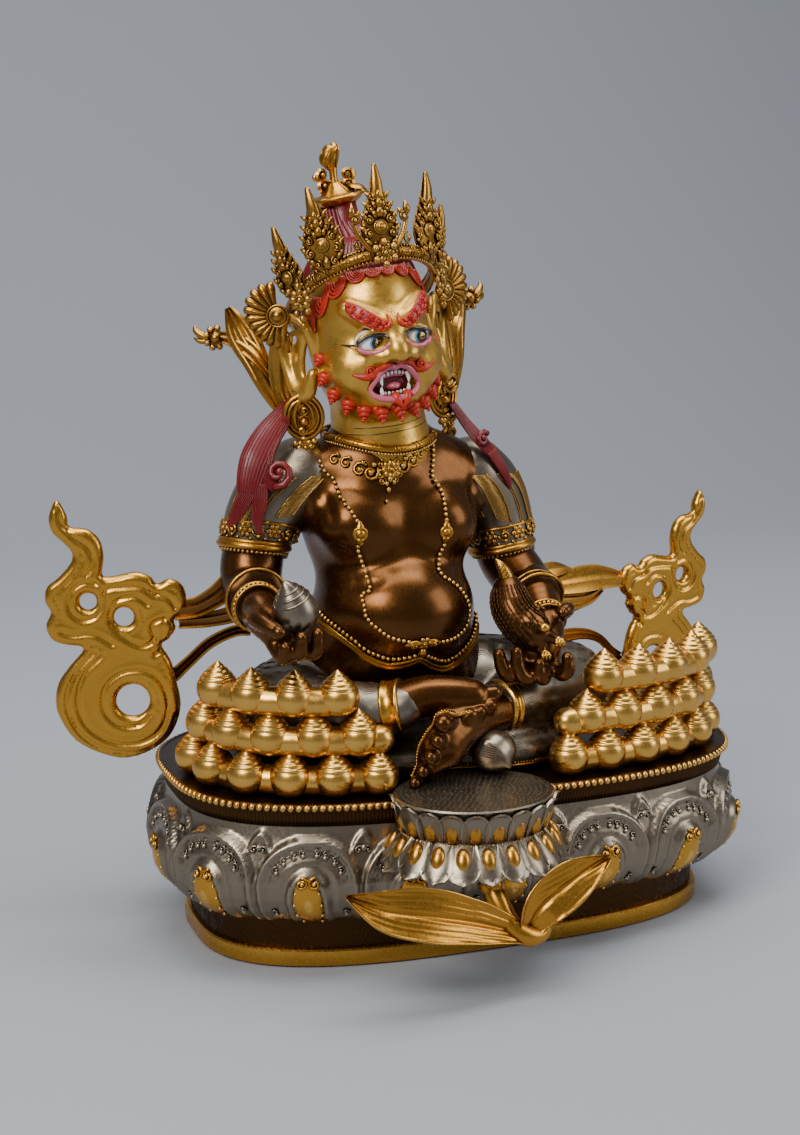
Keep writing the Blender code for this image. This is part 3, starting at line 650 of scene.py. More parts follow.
def rim_angle(share):
    """The outline angle at a share of the way round the rim."""
    return np.interp(np.asarray(share) % 1.0, RIM_LENGTHS, DENSE)


def petal_reach(v):
    """How far the petal band stands out of the plinth at height v, 0 to 1."""
    return np.interp(v, (0, 0.06, 0.16, 0.30, 0.46, 0.62, 0.78, 0.9, 1.0),
        (1, 6, 11, 14.4, 15.6, 14.8, 12.6, 10.6, 9.6))


def ridge(e, middle, half):
    return np.sqrt(np.clip(1 - ((e - middle) / half) ** 2, 0, 1))


def big_petal(u, v):
    """Relief of one petal in millimetres. u is -1 to 1 across it, v 0 to 1 up the band."""
    high = np.maximum(v - 0.40, 0) / 0.52
    rho = (np.abs(u) ** 2.3 + high ** 2.3) ** (1 / 2.3)
    edge = (0.985 - rho) * 29
    inside = np.clip(edge / 1.2, 0, 1)
    relief = inside * 2.6 + 2.3 * ridge(edge, 2.1, 2.1) + 0.9 * ridge(edge, 5.6, 0.9) - 0.8 * ridge(edge, 7.0, 0.6)
    relief += 0.8 * ridge(edge, 12.6, 0.9)
    boss = np.sqrt((u / 0.47) ** 2 + (np.maximum(v - 0.30, 0) / 0.36) ** 2)
    collar = (1.0 - boss) * 14
    relief += np.clip(collar / 5, 0, 1) * 2.2 * inside + 1.3 * ridge(collar, 3.4, 1.8) - np.clip(collar / 6 - 0.8,
        0, 1) * 1.2
    # the small petal that shows between two big ones
    far = 1 - np.abs(u)
    small = 1 - ((far / 0.30) ** 1.7 + (np.abs(v - 0.60) / 0.36) ** 1.7)
    behind = np.clip(small * 6, 0, 1) * 1.1 + 1.4 * ridge(small, 0.16, 0.15)
    return np.where(edge > 0, relief, np.minimum(behind, 2.4))


def band_points(shares, v):
    """Points on the petal band for shares round the rim and heights v."""
    u = ((shares * PETAL_COUNT + 0.5) % 1.0 - 0.5) * 2
    out = petal_reach(v) + big_petal(u, v)
    xy = outline(out, rim_angle(shares))
    z = PETAL_LOW + (PETAL_HIGH - PETAL_LOW) * v
    return np.concatenate([xy, z[..., None]], -1)


def place_on_band(petal, u, v, lift=0.0):
    """A point on a petal and the way that it faces."""
    share = (petal + u / 2) / PETAL_COUNT

    def base_of(s, h):
        xy = outline(petal_reach(h), rim_angle(s))
        return np.array([*xy, PETAL_LOW + (PETAL_HIGH - PETAL_LOW) * h])

    d = 0.002
    across = base_of(share + d, v) - base_of(share - d, v)
    up = base_of(share, v + 0.04) - base_of(share, v - 0.04)
    out = unit(np.cross(across, up))
    point = band_points(np.array([share]), np.array([v]))[0]
    return point + out * lift, out, unit(across), unit(up)


def build_base():
    """The base in layers: petal band, foot, plinth, reeded neck, top plate, beads and trims."""
    columns, rows = PETAL_COUNT * 42, 36
    shares = np.arange(columns) / columns
    heights = np.linspace(0, 1, rows)
    verts = np.array([band_points(shares, np.full(columns, v)) for v in heights])
    petals = Soup().add(verts, round_faces(rows, columns))
    finish_object("petals", petals, SILVER, "lotus_base", 0)

    def wall(levels, columns=420, waves=None):
        """A closed strip of wall. levels is rows of (reach, height)."""
        shares = np.arange(columns) / columns
        rings = []
        for out, z in levels:
            push = 0 if waves is None else waves(shares, z)
            rings.append(np.column_stack([outline(out + push, rim_angle(shares)), np.full(columns, z)]))
        return np.vstack(rings), round_faces(len(levels), columns)

    foot = Soup().add(*wall([(-8, 0.1), (-0.6, 0.1), (0, 0.7), (0.2, 4), (0, 8.6), (-0.9, 9.4), (-3.2, 9.6)]))
    finish_object("foot_band", foot, GOLD, "lotus_base", 30)

    def rosettes(shares, z):
        """Ring engraving on the plinth's wall."""
        u = ((shares * 44) % 1.0 - 0.5) * 22
        r = np.hypot(u, z - 18.5)
        return np.where(r < 9.5, 0.35 * np.cos(r * 2.3), 0.35 * np.cos(1.5 * (u + z)))

    plinth_levels = [(-3.0, z) for z in np.linspace(9.4, 27.5, 15)] + [(-2, 28.2), (3, 28.6)]
    plinth = Soup().add(*wall(plinth_levels, 960, lambda s, z: rosettes(s, z) if z < 27.6 else 0))
    finish_object("plinth_wall", plinth, DARK, "lotus_base", 0)

    def reeding(shares, z):
        return 0.38 * np.cos(shares * 2 * np.pi * 420) if 82 < z < 91.5 else 0

    neck_levels = [(9, 80), (9.2, 82), (10.0, 82.3), (10.8, 86.5), (11.4, 91), (11.6, 91.4), (11.4, 91.8)]
    neck = Soup().add(*wall(neck_levels, 420 * 4, reeding))
    finish_object("reeded_neck", neck, DARK, "lotus_base", 0)

    top = Soup().add(*wall([(11.2, 91.6), (13.2, 92.2), (13.6, 94.2), (12.6, 95.0), (11.6, 95.0), (11.2, 94.6),
                            (6, 94.7), (-20, 94.8), (-60, 94.8)], 360))
    top.faces.append(tuple(range(top.count - 360, top.count)))
    finish_object("top_plate", top, DARK, "lotus_base", 40)

    rim = Soup()
    shares = np.arange(1600) / 1600
    line = np.column_stack([outline(13.0, rim_angle(shares)), np.full(1600, 93.0)])
    rim.beads(line, 2.05, 4.1, closed=True)
    finish_object("beaded_rim", rim, OLD_GOLD, "lotus_base", 0)

    bosses, trims = Soup(), Soup()
    for petal in range(PETAL_COUNT):
        dome = []
        for i in range(9):
            tilt = i / 8 * math.pi / 2
            ring = []
            for a in np.arange(22) * 2 * math.pi / 22:
                u = 0.285 * math.cos(a) * math.cos(tilt)
                v = 0.285 + 0.285 * math.sin(a) * math.cos(tilt) * (0.94 if math.sin(a) > 0 else 0.98)
                point, out, _, _ = place_on_band(petal, u, max(v, 0.0))
                _, out, _, _ = place_on_band(petal, u * 0.2, 0.3)
                ring.append(point + out * (4.0 * math.sin(tilt) - 0.6))
            dome.append(ring)
        verts = np.array(dome).reshape(-1, 3)
        faces = round_faces(9, 22)
        faces.append(tuple(range(8 * 22, 9 * 22)))
        bosses.add(verts, faces)
        point, out, across, up = place_on_band(petal, 0.02, 0.52, 1.2)
        for flip in (-1, 1):
            bosses.spiral(point + across * flip * 3.6 - up * 1.0, across, up, 3.6, 1.25, 1.1, math.pi / 2, 0.8,
                flip=flip)
            for u, v in ((0.215, 0.40), (0.25, 0.28), (0.235, 0.16), (0.18, 0.07)):
                spot, out, _, _ = place_on_band(petal, flip * u, v, 0.9)
                bosses.ball(spot, 0.95, detail=(8, 5))
        # the scrolled border: stems with curls and pearls that follow the petal's edge
        for flip in (-1, 1):
            for k, bend in enumerate((0.16, 0.50, 0.84, 1.18, 1.42)):
                rho = 0.67
                u = flip * rho * math.cos(bend) ** 0.87 if k else flip * rho
                v = 0.14 if k == 0 else 0.40 + 0.52 * rho * math.sin(bend) ** 0.87
                spot, out, across, up = place_on_band(petal, u, v, 0.35)
                trims.ball(spot, 1.35, detail=(8, 5))
                trims.spiral(spot + up * 2.1, across * flip, up, 2.5, 1.0, 0.62, -math.pi / 2, 0.3)
            stem = []
            for bend in np.linspace(0.0, 1.5, 9):
                u = flip * 0.735 * math.cos(bend) ** 0.87
                v = 0.40 + 0.52 * 0.735 * math.sin(bend) ** 0.87
                stem.append(place_on_band(petal, u, v, 0.2)[0])
            trims.tube(stem, 0.55, 6)
        point, out, across, up = place_on_band(petal, 1.0, 0.80, 1.0)
        trims.ball(point, 1.8, detail=(9, 6))
        trims.spiral(point - across * 2.6 - up * 1.2, across, up, 2.4, 1.0, 0.7, 0.5, 0.3)
        trims.spiral(point + across * 2.6 - up * 1.2, -across, up, 2.4, 1.0, 0.7, 0.5, 0.3)
    finish_object("petal_bosses", bosses, GOLD, "lotus_base", 0)
    finish_object("petal_scrollwork", trims, SILVER, "lotus_base", 0)


build_base()


# Jewel heaps

JEWEL_RADIUS = 11.2
JEWEL_PITCH = 23.0
ROW_RISE = 21.2
HEAP_START = {-1: 68.0, 1: 40.0}
HEAP_COUNT = {-1: 6, 1: 7}


def jewel_soup(radius, rings=4):
    """A plump jewel with a few arcs cut round its shoulder and a plain point."""
    fine = [(0.00, 1.30), (0.08, 1.24), (0.20, 1.14), (0.34, 1.02), (0.49, 0.88), (0.64, 0.73), (0.78, 0.56),
        (0.89, 0.38),
            (0.965, 0.18), (1.0, -0.04), (0.985, -0.26), (0.92, -0.48), (0.80, -0.68), (0.62, -0.84), (0.40, -0.95),
                (0.16, -1.0)]
    line = even_steps(smooth_path([(r, z) for r, z in fine], 6)[::-1], 0.062)
    profile = []
    for r, z in line:
        share = (z - 0.26) / 0.84 * rings
        dip = 0.0
        if 0 < share < rings:
            dip = 0.085 * max(0.0, math.cos(math.pi * 2 * (share % 1.0 - 0.5))) ** 2
        profile.append((max(0.012, r - dip), z))
    return Soup().lathe([(r * radius, z * radius) for r, z in profile], columns=18)


def heap_path(side, inset):
    """Where the jewels of the lowest row stand, a pitch apart along the rim."""
    places = outline(RIM_REACH - inset, np.pi * np.arange(901) / 900)
    places = places[places[:, 0] >= HEAP_START[side]]
    path = [places[0]]
    for place in places:
        if np.linalg.norm(place - path[-1]) >= JEWEL_PITCH:
            path.append(place)
    return np.array([(side * x, y) for x, y in path])


def build_heap(name, side):
    """Three rows of jewels along the rim, and the sheet that they are raised from."""
    path = heap_path(side, 14.5)
    soup = Soup()
    jewel = jewel_soup(JEWEL_RADIUS)
    wobble = np.random.default_rng(5 + side)
    for row in range(3):
        z = BASE_TOP + 0.4 + JEWEL_RADIUS * 0.95 + row * ROW_RISE
        for i in range(HEAP_COUNT[side] - row):
            here = (path[i] + path[i + 1]) / 2 if row % 2 else path[i + row // 2]
            inward = -here / np.linalg.norm(here) * 1.5 * row
            lean = Matrix.Rotation(wobble.uniform(-0.05, 0.05), 4,
                "X") @ Matrix.Rotation(wobble.uniform(-0.05, 0.05), 4, "Y")
            turn = Matrix.Rotation(wobble.uniform(0, 6.28), 4, "Z")
            place = Matrix.Translation((*(here + inward), z)) @ lean @ turn
            place = place @ Matrix.Diagonal((wobble.uniform(0.97, 1.02), wobble.uniform(0.97, 1.02),
                wobble.uniform(0.96, 1.0), 1))
            soup.join(jewel, place)
    finish_object(name, soup, JEWEL_GOLD, name, 0)
    # the sheet behind, that the jewels are raised from
    wall = Form((-180 if side < 0 else 20, -92, 92), (-20 if side < 0 else 180, 60, 172), HEAP_STEP)
    count = HEAP_COUNT[side]
    for row in range(3):
        z = BASE_TOP + 8 + row * ROW_RISE
        line = [(*(p * 0.98), z) for p in path[row // 2: count - (row + 1) // 2]]
        wall.limb(line, 8.0, 6.0)
    wall.ball((0, 0, 0), (0.1, 0.1, 0.1))
    z = wall.axes[2]
    wall.value = np.maximum(wall.value, (BASE_TOP + 0.4 - z)[None, None, :])
    finish_object(name + "_sheet", form_soup(wall), JEWEL_GOLD, name, 0)


for heap_name, heap_side in (("jewel_heap_right", -1), ("jewel_heap_left", 1)):
    build_heap(heap_name, heap_side)


# Scarf scrolls

SCROLL_OUTLINE = [
    (-38, 112), (-33, 103), (-32, 97), (-23, 96), (-16, 90), (-14, 80), (-15, 70), (-8, 70), (3, 72), (11, 69),
    (14, 65), (21, 68), (28, 64), (30, 56), (28, 49), (23, 45), (24, 40), (20, 34), (16, 31), (21, 22), (24, 10),
    (26, -4), (21, -19), (11, -28), (-4, -33), (-18, -30), (-32, -22), (-40, -9), (-42, 0), (-40, 11), (-33, 21),
    (-26, 30), (-36, 32), (-43, 35), (-46, 43), (-43, 50), (-46, 56), (-45, 64), (-39, 69), (-32, 77), (-31, 83),
    (-36, 89), (-41, 94), (-43, 101), (-41, 108),
]
SCROLL_HOLES = [(0, 0, 9.0), (-23, 56, 4.6), (-4, 47, 5.3)]
SCROLL_HOLE_X = {-1: -175.0, 1: 144.0}
SCROLL_HOLE_Y = 27.0
SCROLL_SIZE = {-1: 1.0, 1: 0.90}
SCROLL_SWEEP = math.radians(14)
SCROLL_GROOVES = [
    [(-16, 26), (-26, 16), (-30, 0), (-25, -14), (-12, -23), (3, -24), (15, -16), (19, -2), (15, 11), (6, 17), (-6, 16),
     (-15, 8), (-16, -4), (-9, -13), (2, -14), (10, -7)],
    [(-20, 28), (-31, 16), (-36, 0), (-30, -17), (-16, -27), (2, -29), (17, -22), (23, -8)],
    [(12, 26), (18, 30), (22, 40), (19, 46), (11, 43), (12, 35), (6, 31), (-4, 36), (-12, 46), (-8, 56), (2, 59),
        (9, 54)],
    [(24, 52), (20, 58), (12, 60), (6, 64), (-6, 64), (-14, 62), (-16, 52), (-24, 46), (-32, 50), (-33, 60), (-26, 67),
     (-18, 66)],
    [(-38, 40), (-32, 38), (-20, 38), (-10, 32)],
    [(-24, 70), (-20, 78), (-22, 86), (-30, 92), (-36, 99), (-38, 107)],
]


def inside_outline(x, y, points):
    """Distance to a closed outline, negative inside it."""
    p = np.array(points, float)
    q = np.roll(p, -1, 0)
    best = np.full(x.shape, 1e9)
    crossings = np.zeros(x.shape, int)
    for (ax, ay), (bx, by) in zip(p, q):
        dx, dy = bx - ax, by - ay
        t = np.clip(((x - ax) * dx + (y - ay) * dy) / (dx * dx + dy * dy), 0, 1)
        best = np.minimum(best, (x - ax - dx * t) ** 2 + (y - ay - dy * t) ** 2)
        if dy:
            crossings += ((ay > y) != (by > y)) & (x < ax + (y - ay) * dx / dy)
    return np.sqrt(best) * np.where(crossings % 2, -1, 1)


def stroke_distance(x, y, points):
    best = np.full(x.shape, 1e9)
    for (ax, ay), (bx, by) in zip(points, points[1:]):
        dx, dy = bx - ax, by - ay
        t = np.clip(((x - ax) * dx + (y - ay) * dy) / max(dx * dx + dy * dy, 1e-9), 0, 1)
        best = np.minimum(best, (x - ax - dx * t) ** 2 + (y - ay - dy * t) ** 2)
    return np.sqrt(best)


def scroll_place(side):
    """From a scroll's own plane to its stand at one end of the base."""
    size = SCROLL_SIZE[side]
    stand = Matrix.Diagonal((-side * size, 1, size, 1)) @ Matrix.Rotation(math.radians(90), 4, "X")
    sweep = Matrix.Rotation(side * SCROLL_SWEEP, 4, "Z")
    return Matrix.Translation((SCROLL_HOLE_X[side], SCROLL_HOLE_Y, BASE_TOP + 33.4 * size)) @ sweep @ stand


def build_scroll(name, side):
    """A cloud-and-flame plate with rounded edges and engraved lines, carved on both faces."""
    form = Form((-50, -37, -6), (35, 116, 6), SCROLL_STEP)
    x, y = np.meshgrid(form.axes[0], form.axes[1], indexing="ij")
    flat = inside_outline(x, y, smooth_path(SCROLL_OUTLINE, 3, closed=True))
    for hx, hy, hr in SCROLL_HOLES:
        flat = np.maximum(flat, hr - np.hypot(x - hx, y - hy))
    thick = 3.6 * np.sqrt(np.clip(1 - np.clip(1 + flat / 4.5, 0, 1) ** 2.2, 0, 1))
    for groove in SCROLL_GROOVES:
        d = stroke_distance(x, y, smooth_path(groove, 4))
        thick -= 1.2 * np.exp(-(d / 0.85) ** 2) - 0.35 * np.exp(-((d - 2.4) / 1.1) ** 2)
    thick -= 0.5 * np.exp(-((flat + 5.2) / 0.6) ** 2)
    z = form.axes[2][None, None, :]
    form.value = np.maximum(np.abs(z) - np.maximum(thick, 0.7)[:, :, None], flat[:, :, None]).astype(np.float32)
    soup = Soup().join(form_soup(form, 1), scroll_place(side))
    finish_object(name, soup, GOLD, name, 0)


def ribbon(soup, points, widths, normal, thick=1.6, folds=2, depth=1.0, per=6):
    """A strip of cast scarf with long soft folds. normal is the way that its face looks, for all or each point."""
    points, widths = np.asarray(points, float), np.asarray(widths, float)
    normals = np.broadcast_to(np.asarray(normal, float), points.shape)
    line = smooth_path(np.column_stack([points, widths, normals]), per)
    place, wide = line[:, :3], line[:, 3]
    face, across = strip_ways(place, line[:, 4:7])
    count = 6 * max(folds, 1) + 1
    spread = np.linspace(-1, 1, count)
    relief = depth * np.cos(spread * math.pi * folds) * (1 - spread ** 4)
    round_edge = thick * np.sqrt(np.clip(1 - spread ** 6, 0.05, 1))
    rings = []
    for p, w, n, a in zip(place, wide, face, across):
        front = p + a * spread[:, None] * w / 2 + n * (relief + round_edge / 2)[:, None]
        back = p + a * spread[::-1, None] * w / 2 + n * (relief - round_edge / 2)[::-1, None]
        rings.append(np.vstack([front, back]))
    return soup.add(np.vstack(rings), capped_faces(len(rings), count * 2))


for scroll_name, scroll_side in (("scarf_scroll_right", -1), ("scarf_scroll_left", 1)):
    build_scroll(scroll_name, scroll_side)


# The small lotus for the foot

FOOT_X, FOOT_Y = -24.0, -98.0
FOOT_TOP = 99.5
FOOT_WIDE = 45.5
FOOT_DEEP = 36.4


def oval(angle, wide, deep):
    return np.array([FOOT_X + wide * math.cos(angle), FOOT_Y + deep * math.sin(angle)])


def lotus_petal(wide, tall, bulge):
    """A small petal in its own frame: X across, Y up, Z out. Silver shell first, then its gilt boss."""
    shell, boss = Soup(), Soup()
    rows, columns = 11, 11
    verts = []
    for i in range(rows):
        t = i / (rows - 1)
        half = wide / 2 * (0.70 + 0.55 * math.sin(math.pi * min(t * 0.62 + 0.12,
            1))) * math.sqrt(max(1 - max(t - 0.55, 0) ** 2 / 0.2035, 0.0))
        for j in range(columns):
            s = j / (columns - 1) * 2 - 1
            lip = 1.1 * max(0, 1 - ((1 - abs(s)) * half / 1.6) ** 2) + 1.0 * max(0, 1 - ((1 - t) * tall / 1.8) ** 2)
            out = bulge * math.sin(math.pi * min(1, 0.15 + t * 0.62)) * (1 - 0.45 * s * s) + lip + 2.4 * t ** 3
            verts.append((s * half, t * tall, out))
    faces = round_faces(rows, columns, False)
    back = [(x, y, z - 1.6) for x, y, z in verts]
    count = rows * columns
    faces += [tuple(i + count for i in face[::-1]) for face in faces]
    rim = [i for i in range(columns)] + [i * columns + columns - 1 for i in range(1, rows)]
    rim += [(rows - 1) * columns + j for j in range(columns - 2, -1, -1)] + [i * columns for i in range(rows - 2, 0,
        -1)]
    for a, b in zip(rim, rim[1:] + rim[:1]):
        faces.append((b, a, a + count, b + count))
    shell.add(verts + back, faces)
    boss.ball((0, tall * 0.40, bulge * 0.72), (wide * 0.27, tall * 0.30, bulge * 0.62), detail=(14, 8))
    return shell, boss


def build_footrest():
    """The small double lotus: a turned core, a stippled top and two rows of petals."""
    silver, gold = Soup(), Soup()
    core = [(0.50, -40), (0.84, -38), (0.90, -30), (0.82, -21), (0.80, -18.5), (0.86, -10), (0.93, -2.4),
        (0.95, -0.8), (0.93, 0)]
    rings = []
    for share, z in core:
        rings.append([(*oval(a, FOOT_WIDE * share, FOOT_DEEP * share),
            FOOT_TOP + z) for a in np.arange(72) * 2 * np.pi / 72])
    verts = np.array(rings).reshape(-1, 3)
    faces = round_faces(len(core), 72)
    faces.append(tuple(range(72))[::-1])
    silver.add(verts, faces)
    for share in np.arange(0.03, 0.92, 0.064):
        count = max(1, int(share * 90))
        for k in range(count):
            a = 2 * math.pi * (k + share) / count
            silver.ball((*oval(a, FOOT_WIDE * share, FOOT_DEEP * share), FOOT_TOP), (0.62, 0.55, 0.30), detail=(6, 3))
    silver.faces.append(tuple(range(8 * 72, 9 * 72)))
    upper = lotus_petal(12.5, 19.5, 4.2)
    lower = lotus_petal(14.5, 22.0, 5.2)
    count = 20
    for k in range(count):
        for (shell, boss), turn, share, z, up, tip in (
            (upper, 0.0, 0.78, -19.5, 1, 0.18), (lower, 0.5, 0.80, -19.0, -1, 0.52),
        ):
            a = 2 * math.pi * (k + turn) / count
            if math.sin(a) > 0.45:
                continue
            x, y = oval(a, FOOT_WIDE * share, FOOT_DEEP * share)
            out = unit((FOOT_DEEP * math.cos(a), FOOT_WIDE * math.sin(a), 0))
            lean = unit(np.array((0, 0, up)) + out * tip)
            face = unit(out - lean * np.dot(out, lean))
            m = np.eye(4)
            m[:3, 0], m[:3, 1], m[:3, 2] = np.cross(lean, face), lean, face
            m[:3, 3] = (x, y, FOOT_TOP + z)
            silver.join(shell, m)
            gold.join(boss, m)
    waist = [(*oval(a, FOOT_WIDE * 0.86, FOOT_DEEP * 0.86), FOOT_TOP - 19.3) for a in np.linspace(math.pi * 0.9,
        math.pi * 2.1, 60)]
    gold.beads(np.array(waist), 1.1)
    finish_object("footrest_petals", silver, SILVER, "footrest_lotus", 40)
    finish_object("footrest_bosses", gold, OLD_GOLD, "footrest_lotus", 0)


build_footrest()


def leaf_blade(soup, path, widths, normal):
    """A hatched leaf along a curved midrib."""
    path, widths = np.asarray(path, float), np.asarray(widths, float)
    line = smooth_path(np.column_stack([path, widths]), 9)
    place, wide = line[:, :3], line[:, 3]
    face, across = strip_ways(place, np.broadcast_to(np.asarray(normal, float), place.shape))
    spread = np.linspace(-1, 1, 27)
    length = np.concatenate([[0], np.cumsum(np.linalg.norm(np.diff(place, axis=0), axis=1))])
    rings = []
    for p, w, n, a, s in zip(place, wide, face, across, length):
        hatch = 0.32 * np.cos((s - np.abs(spread) * w * 0.55) * 2.1) * np.clip(np.abs(spread) * 5, 0, 1)
        midrib = 1.6 * np.exp(-(spread * w / 2 / 1.4) ** 2)
        dish = 1.9 * (spread ** 2) - midrib + 1.1 * np.clip(np.abs(spread) - 0.86, 0, 1) * 5
        front = p + a * spread[:, None] * w / 2 + n * (1.6 + dish + hatch)[:, None]
        back = p + a * spread[::-1, None] * w / 2 + n * (-0.9 + dish)[::-1, None]
        rings.append(np.vstack([front, back]))
    return soup.add(np.vstack(rings), capped_faces(len(rings), len(rings[0])))


def build_stem():
    soup = Soup()
    x, y = FOOT_X, FOOT_Y
    stem = [(x, y - 22, FOOT_TOP - 41.5), (x + 1, y - 29, 51), (x + 6, y - 36, 38), (x + 14, y - 39, 32.5),
        (x + 22, y - 38, 32),
            (x + 25, y - 37, 36), (x + 20, y - 36, 39)]
    soup.tube(stem, [5.4, 5.8, 6.0, 5.8, 4.6, 3.4, 2.2], 16)
    soup.tube([(x, y - 23, FOOT_TOP - 41), (x + 1, y - 27, 53)], [7.6, 6.0], 16, per=1)
    left = [(x + 10, -136, 34), (x - 14, -140, 44), (x - 40, -142, 52), (x - 64, -139, 57), (x - 83, -134, 65)]
    leaf_blade(soup, left, [10, 21, 27, 21, 2], (-0.1, -1, 0.45))
    right = [(x + 14, -136, 34), (x + 22, -138, 48), (x + 40, -136, 59), (x + 62, -131, 67)]
    leaf_blade(soup, right, [10, 22, 22, 2], (0.2, -1, 0.45))
    finish_object("stem_and_leaves_carved", soup, OLD_GOLD, "stem_and_leaves", 0)


build_stem()


# The head

GOLD_SKIN = paint("gold face paint", (0.62, 0.345, 0.055), (0.20, 0.085, 0.012), 0.32, 0.004, coat=0.1, metallic=0.88,
                  patina=(0.55, 1.0))
WHITE = paint("white enamel", (0.92, 0.91, 0.87), (0.45, 0.38, 0.34), 0.22, 0.001, coat=0.3)
BLUE = paint("blue shading on the eyes", (0.10, 0.33, 0.52), (0.03, 0.10, 0.2), 0.16, 0.002, coat=0.6)
BLACK = paint("black line paint", (0.012, 0.011, 0.012), (0.004, 0.004, 0.004), 0.22, 0.002, coat=0.5)
PINK = paint("pink lip paint", (0.56, 0.11, 0.16), (0.22, 0.02, 0.03), 0.3, 0.0015, coat=0.4)
BLOOD = paint("dark red mouth paint", (0.17, 0.008, 0.012), (0.03, 0.002, 0.003), 0.3, 0.003, coat=0.3)
CRIMSON_LINE = paint("crimson line paint", (0.28, 0.006, 0.014), (0.08, 0.002, 0.004), 0.34, 0.001)


def head_form():
    """Skull, jaw, brows, nose, lids and ears, in the head's own upright frame."""
    f = Form((-52, -60, 258), (52, 52, 388), HEAD_STEP)
    f.ball((0, 2, 338), (32.5, 43, 44), 8)
    f.ball((0, -9, 311), (30.5, 30, 25), 14)
    f.ball((0, -20, 300), (20, 20, 14), 10)
    for s in (-1, 1):
        f.ball((s * 17, -28, 315), (13, 11, 12), 9)
        f.limb([(s * 3.5, -42, 336), (s * 12, -40.5, 341), (s * 21.5, -33, 347)], [4.2, 4.8, 3.4], 6)
        f.ball((s * 12.4, -39.5, 329.5), (8.8, 4.8, 6.4), 3, carve=True)
    f.limb([(0, -38, 341), (0, -43.5, 332), (0, -47, 325.5), (0, -47.5, 323)], [4.6, 4.6, 6.0, 6.2], 5)
    for s in (-1, 1):
        f.ball((s * 7.2, -43.5, 321.0), (5.2, 6.0, 4.4), 3.0)
        f.limb([(s * 9, -42, 324), (s * 14.5, -38, 318), (s * 19, -33, 308)], [2.8, 3.2, 2.8], 7)
        f.ball((s * 4.2, -48.4, 317.4), (2.4, 3.4, 1.8), 1.3, carve=True)
        eye = np.array((s * 12.4, -37.4, 329.0))
        upper, lower = [], []
        for k in range(9):
            a = math.pi * k / 8
            dx = -s * math.cos(a)
            upper.append(eye + (dx * 8.6, -4.6 - 2.4 * math.sin(a), 4.8 * math.sin(a) - 0.6 * dx * s + 0.4))
            lower.append(eye + (dx * 8.4, -4.4 - 2.2 * math.sin(a), -5.0 * math.sin(a) - 0.6 * dx * s - 0.2))
        f.limb(upper, [0.8, 1.1, 1.4, 1.6, 1.6, 1.6, 1.4, 1.1, 0.8], 1.8, per=2)
        f.limb(lower, [0.7, 1.0, 1.2, 1.3, 1.3, 1.3, 1.2, 1.0, 0.7], 1.8, per=2)
        # ear: rim, bowl and long lobe
        rim = [(s * 33, -8, 324), (s * 34.5, -9, 334), (s * 37.5, -5, 341), (s * 42, 2, 342.5), (s * 45, 7, 337),
               (s * 45.5, 8, 326), (s * 44, 6, 314), (s * 42.5, 2, 306), (s * 40.5, -3, 301.5), (s * 38, -7, 305),
               (s * 35.5, -9, 313)]
        f.limb(rim, [2.4, 2.7, 2.9, 3.1, 3.1, 3.1, 3.5, 4.6, 5.2, 4.2, 3.2], 2.5)
        f.limb([(s * 36.5, -1, 332), (s * 38.5, 2, 320), (s * 39.5, 0, 307)], [5.0, 5.2, 4.6], 4,
            flat=((1.0, 0.0, 0.0), 0.5))
        f.limb([(s * 37.5, -4, 334), (s * 41.2, 3, 334), (s * 41.6, 4, 323), (s * 39.5, 0, 315)],
            [1.6, 1.8, 1.8, 1.4], 2)
        f.ball((s * 44, 1, 327), (4.2, 4.4, 8.4), 2, carve=True)
    # mouth
    f.ball((-1.5, -45, 307.2), (12.2, 14.0, 8.4), 1.5, carve=True)
    f.ball((-8.0, -43, 303.8), (6.4, 11.0, 4.2), 1.5, carve=True)
    f.ball((5.0, -43, 303.8), (6.4, 11.0, 4.2), 1.5, carve=True)
    # the neck runs down inside the collar
    f.limb([(0, -1, 300), (0.5, 0, 284), (1.5, 0, 262)], [24, 25.5, 27.5], 6)
    return f


def tilted(soup):
    """The soup moved from the head's frame to the object's."""
    made = Soup()
    made.add(at_head(np.vstack(soup.verts)), soup.faces)
    return made


def head_piece(name, soup, mat, node="figure", angle=0):
    return finish_object(name, tilted(soup), mat, node, angle)


HEAD = form_soup(head_form(), 2)
head_piece("head", HEAD, GOLD_SKIN)
FACE = Ground(HEAD)


def on_face(points, lift=0.0):
    """Points (x, z) of the front view laid on the face."""
    made = []
    for x, z in points:
        place, _ = FACE.front(x, z, lift)
        made.append(place if place is not None else (x, -30, z))
    return np.array(made)


def snail(soup, lines, base, tip, radius, turns=3.2):
    """A curl of hair: a cone wound with a rope, with a fine dark line between the turns."""
    base, tip = np.asarray(base, float), np.asarray(tip, float)
    axis = tip - base
    across = unit(np.cross(axis, (0.3, 0.2, 0.95)))
    other = unit(np.cross(axis, across))
    count = int(turns * 12)
    rope = []
    for k in range(count + 1):
        t = k / count
        a = t * turns * 2 * math.pi
        r = radius * (1 - t) ** 0.75
        out = across * math.cos(a) + other * math.sin(a)
        rope.append(base + axis * t + out * r * 0.72)
    size = np.array([radius * 0.36 * (1 - k / count) ** 0.6 + 0.35 for k in range(count + 1)])
    soup.tube(rope, size, 8, per=1)
    soup.ball(tip, radius * 0.24, detail=(8, 5))
    for share in (0.15, 0.45, 0.7):
        lines.ball(base + axis * share, radius * (1 - share) ** 0.75 * 0.80, detail=(12, 7))


